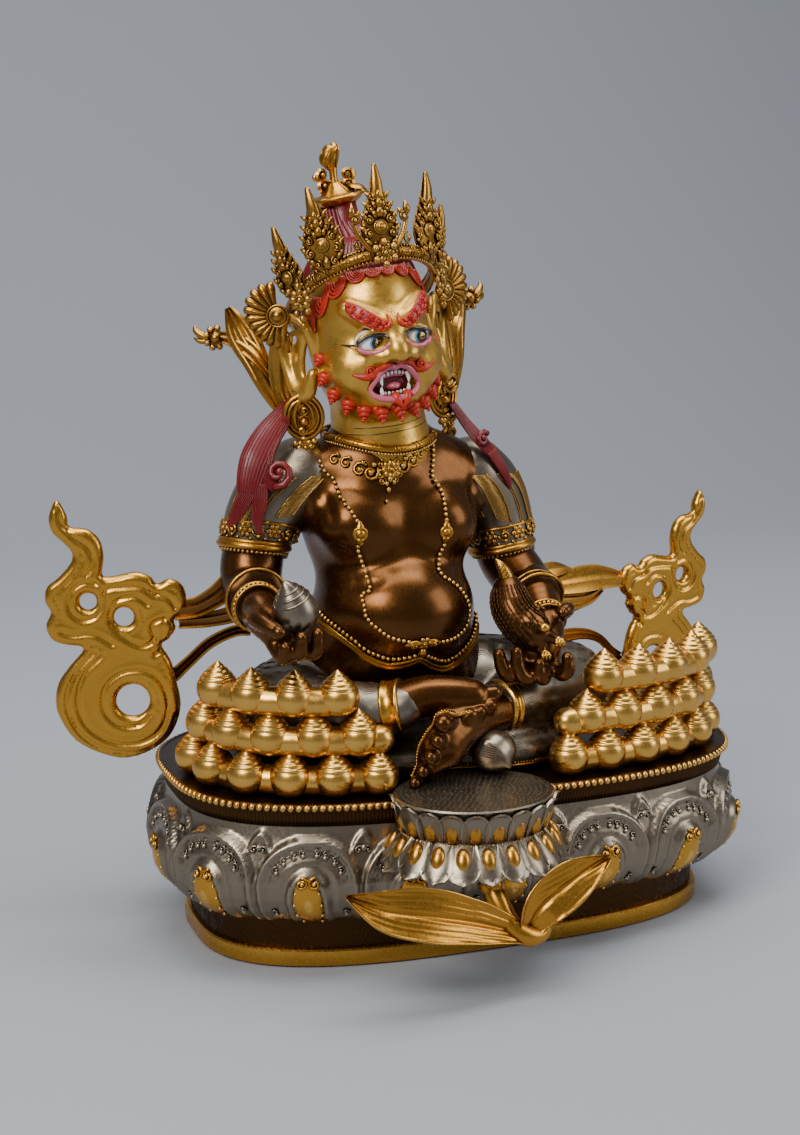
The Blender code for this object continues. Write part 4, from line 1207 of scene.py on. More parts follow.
def build_face():
    # eyes
    white, blue, black, gold, rim, line = Soup(), Soup(), Soup(), Soup(), Soup(), Soup()
    look = unit((0.30, -1, -0.04))
    for s in (-1, 1):
        eye = np.array((s * 12.4, -38.2, 329.0))
        sphere = np.array((7.8, 6.9, 6.6))
        white.ball(eye, sphere, detail=(32, 20))

        def dome(target, middle, size, lift, columns=26):
            """A round patch on the eyeball."""
            side = unit(np.cross(middle, (0, 0, 1)))
            up = np.cross(side, middle)
            verts = []
            for i in range(6):
                for a in np.arange(columns) * 2 * math.pi / columns:
                    d = unit(middle + (side * math.cos(a) + up * math.sin(a)) * size * i / 5)
                    verts.append(eye + d * (sphere + lift))
            target.add(verts, round_faces(6, columns))

        dome(blue, look, 0.60, 0.05)
        dome(black, unit(look + (0.03, 0, 0)), 0.46, 0.12)
        dome(gold, unit(look + (0.04, 0, 0)), 0.235, 0.22)
        dome(black, unit(look + (0.05, 0, 0)), 0.145, 0.32)
        # Painted glint: a small white dot on each eye, up and to the left of the pupil.
        painted_glint = unit(look + (-0.03, 0, 0.05))
        white.ball(eye + painted_glint * (sphere + 0.3), 0.38, detail=(8, 5))
        low, high = [], []
        for k in range(13):
            a = math.pi * (k + 0.6) / 13.2
            dx = -s * math.cos(a)
            low.append((eye[0] + dx * 7.7, eye[2] - 4.6 * math.sin(a) - 0.6 * dx * s))
            high.append((eye[0] + dx * 8.3, eye[2] + 3.8 * math.sin(a) - 0.6 * dx * s + 0.5))
        low, high = on_face(low, -0.2), on_face(high, 0.1)
        for p in (low, high):
            p[:, 1] = np.minimum(p[:, 1], np.median(p[:, 1]) + 3)
        rim.tube(low, [0.4] + [1.15] * 11 + [0.4], 8, per=2)
        line.tube(high, [0.3] + [0.85] * 11 + [0.5], 8, per=2)
        flick = on_face([(eye[0] + s * 8.0, eye[2] - 0.2), (eye[0] + s * 11, eye[2] - 0.6),
            (eye[0] + s * 14.5, eye[2] + 0.2)], 0.1)
        line.tube(flick, [0.8, 0.5, 0.15], 6)
    for name, soup, mat in (("eye_whites", white, WHITE), ("eye_blue", blue, BLUE), ("eye_black", black, BLACK),
                            ("eye_rings", gold, GOLD), ("lid_rims", rim, PINK), ("lid_lines", line, BLACK)):
        head_piece(name, soup, mat)

    # flaming brows
    brow, dark = Soup(), Soup()
    for s in (-1, 1):
        shape = [(4.6, 337.4), (7.6, 337.8), (11.5, 340.4), (15.5, 343.4), (19.0, 346.2), (21.5, 348.8)]
        wide = [1.6, 2.8, 3.2, 3.4, 3.3, 1.6]
        spine = on_face([(s * x, z) for x, z in shape], 0.2)
        dark.tube(spine, np.array(wide) + 0.35, 12, flat=0.22, normal=(s * 0.3, -1, 0.05))
        fine = smooth_path(np.column_stack([spine, wide]), 5)
        for i in range(1, len(fine) - 1, 2):
            w = fine[i, 3]
            flip = 1 if (i // 2) % 2 else -1
            p, n = FACE.near(fine[i, :3] + (0, 0, flip * w * 0.42), 1.15)
            brow.spiral(p, np.cross((0, 0, 1), n), (0, 0, 1), w * 0.52, 1.2, 0.62, math.pi / 2 * flip, 0.3, flip=flip)
        brow.tube(on_face([(s * x, z + w * 0.9) for (x, z), w in zip(shape, wide)], 0.7),
            [0.8, 0.9, 0.9, 0.9, 0.8, 0.4], 7)
        brow.tube(on_face([(s * x, z - w * 0.9) for (x, z), w in zip(shape, wide)], 0.7),
            [0.8, 0.9, 0.9, 0.9, 0.8, 0.4], 7)
        flame = on_face([(s * 4.2, 336.4), (s * 2.8, 338.0), (s * 2.4, 340.4), (s * 3.2, 342.6)], 0.5)
        brow.tube(flame, [1.2, 1.4, 1.1, 0.3], 8)
    # moustache
    for s in (-1, 1):
        path = on_face([(s * 1.2 - 1, 317.0), (s * 6 - 1, 317.6), (s * 10 - 1, 315.2), (s * 13.5 - 1, 312.2),
            (s * 17.5 - 1, 312.2), (s * 22.5 - 1, 313.6)], 0.6)
        brow.tube(path, [1.0, 1.4, 1.8, 2.3, 1.8, 0.3], 10, flat=0.8, normal=(s * 0.4, -1, 0))
        curl = on_face([(s * 13.5 - 1, 315.0)], 1.2)[0]
        brow.spiral(curl, (s, 0.25, 0), (0, 0, 1), 3.0, 1.35, 1.0, -math.pi / 2, 0.6)
        dark.tube(path + (0, -0.9, 1.1), [0.2, 0.35, 0.35, 0.35, 0.3, 0.1], 5)
    # beard curls along the jaw, and the heart-shaped pair at the chin
    for s in (-1, 1):
        for x, y, z, r in ((31.5, -13, 321.5, 4.3), (32.5, -15, 311.5, 4.3), (30.0, -19, 302, 4.5),
            (25.5, -26, 295.5, 4.7),
                           (18.0, -32, 292, 4.7), (9.5, -37, 290.5, 4.7)):
            place, normal = FACE.near((s * x, y, z))
            base = place - normal * 0.8
            snail(brow, dark, base, base + normal * 4.2 + np.array((0, 0, -3.6)), r)
        heart, normal = FACE.near((s * 2.4 + 1, -44, 296.0))
        brow.tube([heart + (s * 1.5, -1, 4), heart + (s * 0.8, -2.6, 0.5), heart + (-s * 1.6, -3.4, -3.6)],
            [2.0, 2.5, 0.7], 9)
        brow.spiral(heart + (s * 1.4, -3.0, 1.6), (s, 0, 0), (0, 0, 1), 2.4, 1.2, 0.9, 0, 0.6)
    base, normal = FACE.near((0, -42, 290.0))
    snail(brow, dark, base - normal, base + normal * 4.4 + np.array((0, 0, -3.8)), 4.4)
    # the fringe of hair under the crown: scallops of nested arcs
    for s in (-1, 1):
        for turn, top, wide, drop, lean in ((0.17, 372, 6.6, 6.5, 0.0), (0.52, 370.5, 6.8, 8.5, 0.5),
            (0.86, 364, 6.6, 10.5, 1.8),
                                            (1.12, 356, 5.6, 12.5, 2.6), (1.36, 347, 4.4, 14.0, 1.5)):
            for ring in range(5):
                share = 1 - ring * 0.2
                row = []
                for a in np.linspace(0.0, math.pi, 11):
                    t = turn + (-math.cos(a) * wide * share) / 38 - 0.006 * lean * ring
                    z = top - drop * share * math.sin(a) - lean * math.cos(a) * -1.2
                    row.append(FACE.near((s * 33 * math.sin(t), 2 - 43 * math.cos(t), z), 0.9 - ring * 0.05)[0])
                brow.tube(row, [0.4] + [0.72] * 9 + [0.4], 6, per=2)
                dark.tube(np.array(row) + (0, 0.75, 0.55), [0.5] + [0.8] * 9 + [0.5], 5, per=2)
    head_piece("hair_orange", brow, ORANGE)
    head_piece("hair_shadow_lines", dark, CRIMSON_LINE)

    # mouth: lips, dark inside, teeth and tongue
    lips, inside, teeth, tongue = Soup(), Soup(), Soup(), Soup()
    edge = [(-13.6, 304.0), (-10.8, 309.5), (-7.2, 313.8), (-2.8, 315.8), (0, 314.8), (2.8, 315.8), (7.2, 313.8),
            (10.8, 309.5), (13.2, 304.6), (10.2, 300.4), (5.2, 298.8), (0, 298.4), (-5.2, 298.8), (-10.4, 300.2)]
    ring = [(x - 1.5, -36.6 - 5.8 * math.sqrt(max(0, 1 - (x / 15.5) ** 2)) - (1.0 if z > 306 else 0.2), z) for x,
        z in edge]
    lips.tube(ring, [1.2, 1.5, 1.8, 1.9, 1.6, 1.9, 1.8, 1.5, 1.2, 1.6, 1.8, 1.9, 1.8, 1.6], 12, closed=True, per=5)
    dense = smooth_path(ring, 5, closed=True)
    middle = np.array((-1.5, -34.0, 306.5))
    rows = [middle * (1 - share) + dense * share + (0, back, 0)
            for share, back in ((1.0, 0.4), (0.95, 3.5), (0.85, 7), (0.6, 9.5), (0.3, 11))]
    faces = round_faces(len(rows), len(dense))
    faces.append(tuple(range((len(rows) - 1) * len(dense), len(rows) * len(dense))))
    inside.add(np.vstack(rows), faces)
    inside.ball((-1.5, -31, 306.4), (12.6, 6.4, 8.6), detail=(20, 10))
    for x in np.linspace(-5.4, 5.4, 6):
        teeth.ball((x - 1.5, -40.6 + abs(x) * 0.22, 312.3 - abs(x) * 0.22), (0.9, 0.8, 1.2), detail=(10, 7))
        teeth.ball((x - 1.5, -39.8 + abs(x) * 0.22, 301.0 + abs(x) * 0.06), (0.85, 0.75, 1.05), detail=(10, 7))
    for s in (-1, 1):
        teeth.tube([(s * 7.4 - 1.5, -40.0, 311.0), (s * 7.6 - 1.5, -41.0, 308.4), (s * 7.3 - 1.5, -41.4, 305.8)],
            [1.25, 1.05, 0.25], 10)
        teeth.tube([(s * 7.2 - 1.5, -39.4, 301.0), (s * 7.6 - 1.5, -40.0, 303.4), (s * 7.4 - 1.5, -40.2, 305.2)],
            [1.15, 0.95, 0.25], 10)
        tongue.tube([(s * 5.6 - 1.5, -37.0, 310.0), (-1.5, -38.4, 311.0)], [1.4, 1.4], 8)
    tongue.tube([(-1.5, -31, 303.5), (-1.5, -36.5, 304.5), (-1.0, -39.6, 304.8), (-0.8, -40.6, 304.0)],
        [3.4, 3.8, 3.0, 1.6], 14, flat=0.55,
                normal=(0, 0.2, 1))
    head_piece("lips", lips, PINK)
    head_piece("mouth_inside", inside, BLOOD)
    head_piece("teeth", teeth, WHITE)
    head_piece("tongue", tongue, PINK)
    third = Soup()
    third.tube(on_face([(0.6, 345.2), (1.4, 343), (1.2, 341.4), (0.6, 340.8), (0, 341.4), (-0.2, 343)], 0.02), 0.18,
        5, closed=True)
    for s in (-1, 1):
        for drop in (0, 3.0):
            row = [FACE.near((s * 46, y, 305 - drop), 0.0)[0] for y in (-6, -2, 3)]
            third.tube(row, [0.12, 0.28, 0.12], 5)
    for z, reach in ((283.0, 0.9), (279.5, 1.1)):
        row = [FACE.near((26 * math.sin(a), -26 * math.cos(a), z - 1.6 * math.cos(a)),
            0.0)[0] for a in np.linspace(-reach, reach, 17)]
        third.tube(row, [0.08] + [0.26] * 15 + [0.08], 5)
    head_piece("painted_lines", third, BLACK)


build_face()


# The body, in millimetres with x = 0 at the figure's middle

def piece(name, soup, mat, node="figure", angle=0):
    made = Soup()
    made.add(at_figure(np.vstack(soup.verts)), soup.faces)
    return finish_object(name, made, mat, node, angle)


def hoop(centre, axis, across, deep, up=(0, 1, 0), count=28):
    """Points of an oval ring round an axis."""
    side = unit(np.cross(axis, up))
    other = unit(np.cross(side, axis))
    turns = np.arange(count) * 2 * math.pi / count
    return np.asarray(centre, float) + np.outer(np.cos(turns) * across, side) + np.outer(np.sin(turns) * deep, other)


def flower(soup, place, normal, radius, petals=6, up=(0, 0, 1)):
    """A small cast flower: petals, a ring and a boss."""
    m = facing(place, normal, up)
    part = Soup()
    for k in range(petals):
        a = 2 * math.pi * k / petals
        c = np.array((math.cos(a), math.sin(a), 0))
        part.ball(c * radius * 0.62, (radius * 0.40, radius * 0.34, radius * 0.22),
            np.array(Matrix.Rotation(a, 3, "Z")), (9, 6))
    part.tube([(math.cos(a) * radius * 0.34, math.sin(a) * radius * 0.34,
        radius * 0.2) for a in np.arange(12) * math.pi / 6],
              radius * 0.09, 6, per=1, closed=True)
    part.ball((0, 0, radius * 0.16), (radius * 0.27, radius * 0.27, radius * 0.26), detail=(10, 6))
    soup.join(part, m)


def volute(soup, place, normal, radius, flip=1, start=0.0, thick=None, up=(0, 0, 1)):
    """A curl lying on a surface."""
    x = unit(np.cross(up, normal))
    y = np.cross(normal, x)
    soup.spiral(place, x, y, radius, 1.35, thick or radius * 0.26, start, radius * 0.18, flip=flip)


def torso_form():
    f = Form((-70, -66, 100), (70, 56, 282), TORSO_STEP)
    f.ball((0, 6, 140), (55, 46, 36), 10)
    f.ball((-2, -11, 180), (44, 45, 36), 12)
    f.ball((-2, 2, 160), (50, 44, 30), 12)
    f.ball((0, 5, 222), (48, 34, 40), 14)
    f.limb([(-49, 6, 245), (-26, 3, 254), (0, 2, 258), (26, 3, 253), (48, 6, 243)], [20, 21, 22, 21, 19], 12)
    f.ball((-24, -18, 228), (23, 18, 19), 13)
    f.ball((21, -18, 226), (21, 18, 19), 13)
    f.limb([(-7, 2, 258), (-7, 0, 274)], [30, 25], 10)
    return f


def build_torso():
    """The bare chest and belly with their folds."""
    f = torso_form()
    ground = Ground(form_soup(f, 1))

    def carve(points, radii, lift=0.2, melt=2.2):
        f.limb(ground.lay(points, lift, per=5), np.interp(np.linspace(0, 1, (len(points) - 1) * 5 + 1),
               np.linspace(0, 1, len(radii)), radii), melt, carve=True, per=1)

    carve([(-50, -30, 211), (-42, -40, 207.0), (-33, -46, 206.0), (-24, -48, 208)], [0.4, 1.2, 1.3, 0.3], melt=4)
    carve([(16, -47, 208.5), (24, -45, 205.5), (33, -38, 207)], [0.3, 1.1, 0.6], melt=4)
    carve([(-44, -30, 232), (-48, -24, 244), (-48, -18, 252)], [0.3, 1.1, 0.3], melt=4)
    carve([(40, -28, 230), (44, -22, 242), (44, -18, 250)], [0.3, 1.1, 0.3], melt=4)
    soup = form_soup(f, 2)
    piece("torso", soup, SKIN)
    return Ground(soup)


TORSO = build_torso()


def build_strands():
    """Collar, bead strands, medals, belt, sash and pendant."""
    gold, sash = Soup(), Soup()
    # the rolled collar with its segment marks
    collar = [(-7 + 29.5 * math.sin(a), 1 - 29.0 * math.cos(a),
        273.5 - 4.6 * math.cos(a) ** 3) for a in np.arange(40) * math.pi / 20]
    gold.tube(collar, 2.1, 12, closed=True, per=2)
    fine = smooth_path(collar, 6, closed=True)
    for i in range(0, len(fine), 14):
        for d in (0, 3):
            k = (i + d) % len(fine)
            t = unit(fine[(k + 1) % len(fine)] - fine[k - 1])
            gold.tube(hoop(fine[k], t, 2.3, 2.3, (0, 0, 1), 12), 0.32, 5, per=1, closed=True)
    outer = [(-7 + 31.2 * math.sin(a), 1 - 30.6 * math.cos(a),
        271.2 - 4.8 * math.cos(a) ** 3) for a in np.arange(40) * math.pi / 20]
    gold.beads(smooth_path(outer, 4, closed=True), 0.8, 1.75, closed=True)

    def strand(points, radius=1.25, pitch=2.9):
        gold.beads(TORSO.lay(points, radius * 0.7, per=8), radius, pitch, detail=(7, 4))

    def medal(x, y, z, size):
        place, normal = TORSO.near((x, y, z), 0.6)
        gold.lathe([(size, -1.2), (size, 0.6), (size * 0.86, 1.3), (size * 0.62, 0.8), (size * 0.5, 1.7),
            (size * 0.2, 2.3)],
                   place, facing((0, 0, 0), normal)[:3, :3], 24)
        for up in (-1, 1):
            tip = TORSO.lay([(x, y, z + up * size * 0.9), (x, y, z + up * size * 1.6), (x, y, z + up * size * 2.5)],
                0.9, per=3)
            gold.tube(tip, [size * 0.62] * 2 + [size * 0.55] * 2 + [size * 0.3] * 2 + [0.5], 8, per=1, flat=0.6,
                normal=normal)

    strand([(-50, -22, 270), (-47, -34, 258), (-40, -42, 246), (-35, -46, 236)])
    strand([(21, -24, 272), (21, -34, 262), (19, -40, 252), (18, -44, 240), (18, -46, 233)])
    medal(-33, -48, 225, 4.2)
    medal(18, -46, 224, 3.8)
    strand([(-33, -50, 216.5), (-37.5, -52, 211), (-41, -50, 202.6), (-40.5, -54, 193), (-38, -54, 186),
        (-33.5, -55, 180), (-28, -56, 175.8),
            (-20, -57, 171), (-10, -58, 168.6)])
    strand([(18, -46, 215.5), (15.5, -46, 210), (20, -46, 202), (26, -44, 192), (30.0, -42, 182), (28, -44, 173),
        (19, -50, 168), (9, -56, 166.8)])
    middle, normal = TORSO.near((-0.5, -57, 167.6), 1.0)
    flower(gold, middle, normal, 4.0)
    for s in (-1, 1):
        side, n = TORSO.near((-0.5 + s * 6.6, -56, 167.2), 0.9)
        gold.tube([side - (s * 3.4, 0, 0), side, side + (s * 4.2, 0.8, -0.4)], [2.3, 2.6, 0.5], 9, flat=0.55, normal=n)
        volute(gold, side + n * 1.2, n, 1.9, s)
    drop = TORSO.lay([(-0.5, -57, 163), (-0.5, -58, 159.5), (-0.5, -58, 156)], 1.0, per=3)
    gold.tube(drop, [1.4, 1.8, 2.2, 2.4, 2.2, 1.6, 0.5], 10, per=1)

    # the belt of beads and the gold sash with its notch
    belt = [(-56, -20, 182), (-50, -38, 174), (-44, -48, 166.5), (-37, -52, 160.5), (-29, -56, 156),
        (-21, -58, 153.6), (-12, -60, 153.8),
            (-5, -60, 156), (-1.5, -60, 157.4), (2, -60, 155.6), (10, -58, 152.2), (18.5, -54, 151), (27, -50, 153),
                (35, -42, 158.5), (40, -30, 166),
            (42, -20, 174)]
    gold.beads(TORSO.lay(belt, 1.1, per=8), 1.3, 2.9, detail=(8, 5))
    rows = []
    low = TORSO.lay([(x, y, z - 2.4) for x, y, z in belt], 1.3, per=6)
    wide = TORSO.lay([(x, y, z - 6.4) for x, y, z in belt], 1.6, per=6)
    steps = len(low)
    for share, out in ((0.0, 0.0), (0.12, 0.8), (0.35, 0.35), (0.7, 0.45), (0.9, 1.0), (1.0, 0.0), (1.0, -1.6),
        (0.0, -1.6)):
        line = low * (1 - share) + wide * share
        normals = np.array([TORSO.near(p)[1] for p in line])
        rows.append(line + normals * out)
    faces = [(i * steps + j, i * steps + j + 1, ((i + 1) % 8) * steps + j + 1, ((i + 1) % 8) * steps + j)
             for i in range(8) for j in range(steps - 1)]
    faces += [tuple(i * steps for i in range(8)), tuple(i * steps + steps - 1 for i in range(8))[::-1]]
    sash.add(np.vstack(rows), faces)
    # the scrolled pendant of the collar
    for x, y, z, r, flip in ((-41, -24, 268.5, 3.2, 1), (-36, -28, 265, 3.4, 1), (-30, -34, 262, 4.2, 1),
        (-23.5, -38, 260.5, 4.6, -1),
                             (-1, -38, 262, 4.4, -1), (6.0, -34, 264, 4.0, -1), (12.5, -30, 267, 3.4, 1),
                                 (17.5, -26, 270.5, 3.0, 1)):
        p, n = TORSO.near((x - 2, y, z), 0.9)
        volute(gold, p, n, r, flip, 0.6)
        gold.ball(p + n * 0.8, r * 0.36, detail=(8, 5))
        gold.ball(p + np.array((1.8, 0, r * 0.9)), r * 0.34, detail=(8, 5))
    p, n = TORSO.near((-11.5, -42, 261.5), 1.2)
    flower(gold, p, n, 5.4, 8)
    for dx, dz, r in ((-8.6, -2.6, 2.8), (6.6, -2.8, 2.8), (-7.6, 3.6, 2.4), (6.4, 3.6, 2.4), (-6.0, -7.6, 2.5),
        (4.0, -7.8, 2.5)):
        p, n = TORSO.near((-12 + dx, -42, 261.5 + dz), 0.9)
        volute(gold, p, n, r, 1 if dx > 0 else -1, math.pi / 2)
    for dx, dz, r in ((-1, -7.5, 2.0), (-3.6, -9.6, 1.5), (1.8, -9.8, 1.5), (-1, -11.8, 1.7), (-1, -14.6, 1.2)):
        p, n = TORSO.near((-11 + dx, -42, 261.5 + dz), 1.1)
        gold.ball(p, (r * 0.8, r * 0.8, r), detail=(9, 6))
    piece("bead_strands", gold, OLD_GOLD)
    piece("sash", sash, OLD_GOLD)


build_strands()


# Arms, hands and what they hold

HATCH = cast_metal("gilt hatched cloth", (0.86, 0.58, 0.22), (0.42, 0.24, 0.065), (0.06, 0.020, 0.006),
    (0.30, 0.46), 0.003,
                   (0.25, 0.6), 0.5)
SLEEVE_SILVER = cast_metal("silvered cloth", (0.64, 0.56, 0.43), (0.24, 0.195, 0.14), (0.032, 0.015, 0.007),
    (0.28, 0.44), 0.004,
                           (0.34, 0.74), 0.4)


def build_sleeve(name, shoulder, ring_at, ring_axis, ring_wide, s):
    """A short sleeve: silvered folds, hatched gilt strips, a band of rosettes and a double ring."""
    f = Form(np.min(shoulder, 0)[:3] - 34, np.max(shoulder, 0)[:3] + 34, SLEEVE_STEP)
    f.limb([p[:3] for p in shoulder], [p[3] for p in shoulder], 5)
    ring_at = np.asarray(ring_at, float)
    axis = unit(ring_axis)
    f.ball(ring_at + axis * 20, 21.5, 1.5, carve=True)
    soup = form_soup(f, 1)
    piece(name, soup, SLEEVE_SILVER)
    ground = Ground(soup)
    gold, cloth = Soup(), Soup()
    for shift, extra, thick in ((0.0, 0.2, 1.9), (-2.4, 0.0, 1.2)):
        gold.tube(hoop(ring_at + axis * (2.0 + shift), axis, ring_wide + extra, ring_wide + extra), thick, 10,
            per=2, closed=True)
    gold.beads(hoop(ring_at + axis * 4.6, axis, ring_wide - 0.6, ring_wide - 0.6, count=60), 1.15, 2.45, closed=True)
    for k in range(14):
        a = 2 * math.pi * k / 14
        ring = hoop(ring_at - axis * 6.4, axis, ring_wide + 3, ring_wide + 3, count=14)
        p, n = ground.near(ring[k], 0.5)
        if k % 2:
            flower(gold, p, n, 4.3, 6, axis)
        else:
            volute(gold, p, n, 3.5, 1, 0, up=axis)
            volute(gold, p + axis * -3.0, n, 2.3, -1, math.pi, up=axis)
            gold.ball(p + axis * 3.0, 1.2, detail=(8, 5))
        for up in (-4.6, 4.4):
            q = ground.near(p + unit(np.cross(axis, n)) * 4.2 + axis * up, 0.3)[0]
            gold.ball(q, 1.0, detail=(8, 5))
    gold.tube([ground.near(q, 0.4)[0] for q in hoop(ring_at - axis * 10.6, axis, ring_wide + 3, ring_wide + 3)],
        0.8, 7, closed=True, per=2)
    # strips that fall from the shoulder
    line = smooth_path([p[:3] for p in shoulder], 10)
    line = line[(line - ring_at) @ axis < -10.5]
    for turn, wide in ((-1.25, 8.5), (-0.2, 8.5), (0.95, 9.0)):
        edges = []
        for side in (-1, 0, 1):
            row = []
            for p in line:
                out = np.array((s * math.sin(turn + side * wide / 42), -math.cos(turn + side * wide / 42), 0.12))
                row.append(ground.near(p + out * 30, 0.55 if side == 0 else 0.4)[0])
            edges.append(smooth_path(row, 2))
        left, centre, right = edges
        for edge in (left, right):
            cloth.tube(edge, 0.6, 6, per=1)
        count = len(centre)
        for i in range(1, count - 1):
            for a, b in ((left, right), (right, left)):
                j = min(count - 1, i + 2)
                cloth.tube([a[i], centre[(i + j) // 2], b[j]], 0.28, 4, per=1)
        cloth.add(np.vstack([left, centre, right]), [(i * count + j, i * count + j + 1, (i + 1) * count + j + 1,
            (i + 1) * count + j)
                                                     for i in range(2) for j in range(count - 1)])
    for turn in (-0.78, -0.70, 0.36, 0.44, 1.4):
        row = []
        for p in line:
            out = np.array((s * math.sin(turn), -math.cos(turn), 0.12))
            row.append(ground.near(p + out * 30, 0.1)[0])
        gold.tube(row, 0.3, 5) if turn == 0.5 else cloth.tube(row, 0.55, 6)
    piece(name + "_gilding", gold, OLD_GOLD)
    piece(name + "_cloth", cloth, HATCH)
    return ground


build_sleeve("sleeve_right", [(-50, 6, 252, 21), (-62, 8, 242, 22), (-71, 9, 228, 20.5), (-76, 7, 212, 18.5)],
    (-76.5, 5, 217), (-0.15, -0.12, -1), 18.6, -1)
build_sleeve("sleeve_left", [(50, 6, 248, 21), (60, 10, 238, 21.5), (68, 11, 222, 19.5), (73, 8, 200, 17.5)],
    (70.5, 9, 207), (0.18, -0.1, -1), 17.8, 1)


def finger(f, points, size, nails, nail_out):
    """A finger with its knuckles, and the place of its nail."""
    f.limb(points, [size, size * 0.98, size * 0.9, size * 0.72][:len(points)], 1.6, per=4)
    a, b = np.asarray(points[-2], float), np.asarray(points[-1], float)
    along = unit(b - a)
    out = unit(np.asarray(nail_out, float) - along * np.dot(nail_out, along))
    nails.append((b - along * size * 0.15 + out * size * 0.52, along, out, size))


def build_arm(name, limb, hand, fingers, low, high):
    f = Form(low, high, ARM_STEP)
    f.limb([p[:3] for p in limb], [p[3] for p in limb], 4)
    for centre, radii in hand:
        f.ball(centre, radii, 5)
    nails, creases = [], []
    for points, size, nail_out in fingers:
        finger(f, points, size, nails, nail_out)
        creases.append((np.asarray(points[-2], float), unit(np.asarray(points[-1], float) - points[-2]), size))
    soup = form_soup(f, 1)
    piece(name, soup, SKIN)
    tips = Soup()
    for place, along, out, size in nails:
        m = np.stack([np.cross(along, out), along, out], 1)
        tips.ball(place, (size * 0.52, size * 0.66, size * 0.30), m, (14, 9))
    piece(name + "_nails", tips, SKIN)
    return Ground(soup)


build_arm("arm_right", [(-75, 8, 216, 16.5), (-78, 6, 204, 17), (-80, -1, 194, 16), (-83, -18, 190.5, 13.5),
    (-87, -36, 191, 11), (-88, -44, 190.5, 10.4)],
          [((-87, -54, 187.5), (11, 12, 9.5)), ((-82, -62, 183.0), (11, 10, 8))],
          [([(-94, -50, 190), (-94.5, -62, 190.5), (-92.0, -71, 189), (-87.8, -78, 186.6)], 5.0, (-0.5, -1, 0.5)),
           ([(-82, -64, 181), (-79, -72, 175), (-77.5, -79, 176), (-77.0, -80, 184.0)], 4.6, (0, -1, 0.2)),
           ([(-76, -62, 180), (-71, -71, 174), (-68, -76.5, 176), (-67.2, -76.5, 184.5)], 4.5, (0.1, -1, 0.2)),
           ([(-88, -62, 181), (-86, -71, 174.5), (-84.5, -76, 173.0), (-85, -77.5, 179)], 4.4, (0, -1, -0.2))],
          (-118, -92, 160), (-46, 34, 236))
build_arm("arm_left", [(70, 10, 206, 15.5), (74, 6, 196, 16), (77, -6, 188, 15.5), (78, -24, 181, 13),
    (76, -38, 174, 10.8), (74, -46, 170, 10.2)],
          [((69, -52, 164), (12, 11, 11)), ((66, -56, 157), (11, 9, 9))],
          [([(80, -44, 174), (82, -54, 180), (80, -60, 182.5), (75.6, -63, 181.4)], 4.4, (0.1, -1, 0.4)),
           ([(58, -56, 153), (48, -64, 149), (41, -66, 152), (38.0, -65, 162)], 4.7, (-0.4, -1, 0.1)),
           ([(62, -60, 152), (53, -69, 148.5), (48, -70, 153), (46.6, -69, 163.5)], 4.6, (-0.2, -1, 0.1)),
           ([(67, -61, 151), (62, -70, 148), (59, -72.5, 151), (58.6, -72.0, 157)], 4.4, (0, -1, 0.1)),
           ([(72, -60, 152), (74, -68, 149), (76, -71, 152), (75.8, -70.5, 158.5)], 4.5, (0.1, -1, 0.1))],
          (28, -84, 136), (104, 34, 228))


def build_cuffs():
    gold, cloth = Soup(), Soup()
    for centre, axis, wide, bead_at, bead_wide in (((-83, -20, 191.5), (-0.10, -1, 0.02), 16.6, (-87.5, -39, 191),
        12.6),
                                                   ((78, -22, 182.5), (-0.05, -1, -0.36), 15.8, (74.8, -42, 172),
                                                       12.4)):
        centre, axis = np.asarray(centre, float), unit(axis)
        turn = facing((0, 0, 0), axis)[:3, :3]
        cloth.lathe([(13.0, -14), (14.5, -7), (wide - 0.8, 0), (wide, 3), (wide - 1.6, 4.2), (12.0, 5.6), (9.0, 6)],
            centre, turn, 40,
                    lambda t, h: 1 + 0.035 * np.sin(7 * t + h * 0.4))
        for shift, grow, thick in ((3.2, -0.3, 1.1), (-1.5, -1.0, 0.7), (-6.0, -2.6, 1.0)):
            gold.tube(hoop(centre + axis * shift, axis, wide + grow, wide + grow, (0, 0, 1)), thick, 9, per=2,
                closed=True)
        gold.tube(hoop(np.asarray(bead_at, float) + axis * -1.8, axis, bead_wide + 0.2, bead_wide + 0.2, (0, 0, 1)),
            1.1, 9, per=2, closed=True)
        gold.beads(hoop(bead_at, axis, bead_wide, bead_wide, (0, 0, 1), 60), 1.2, 2.5, closed=True)
        gold.tube(hoop(np.asarray(bead_at, float) + axis * 1.8, axis, bead_wide - 0.3, bead_wide - 0.3, (0, 0, 1)),
            0.8, 8, per=2, closed=True)
    piece("wrist_gilding", gold, OLD_GOLD)
    piece("cuffs", cloth, DARK)


build_cuffs()


def build_citron():
    """The jewel in the right hand, with three low ridges round its shoulder."""
    f = Form((-94, -86, 176), (-58, -46, 216), CITRON_STEP)
    f.ball((-75.5, -66, 193.5), (11.8, 11.0, 11.6), 2)
    f.limb([(-77, -67, 200), (-80.5, -68, 207), (-82.5, -68.5, 210.5)], [8.0, 3.8, 0.9], 4)
    soup = form_soup(f, 2)
    ground = Ground(soup)
    axis = unit((-7, -2.5, 17))
    for height, wide in ((8.0, 9.6), (11.0, 7.6), (13.8, 5.4)):
        centre = np.array((-75.5, -66, 193.5)) + axis * height
        row = [ground.near(p, 0.05)[0] for p in hoop(centre, axis, wide, wide)]
        soup.tube(row[:26], [0.2] + [0.75] * 24 + [0.2], 7, per=2)
    piece("wish_jewel", soup, SILVER, "wish_jewel")


build_citron()


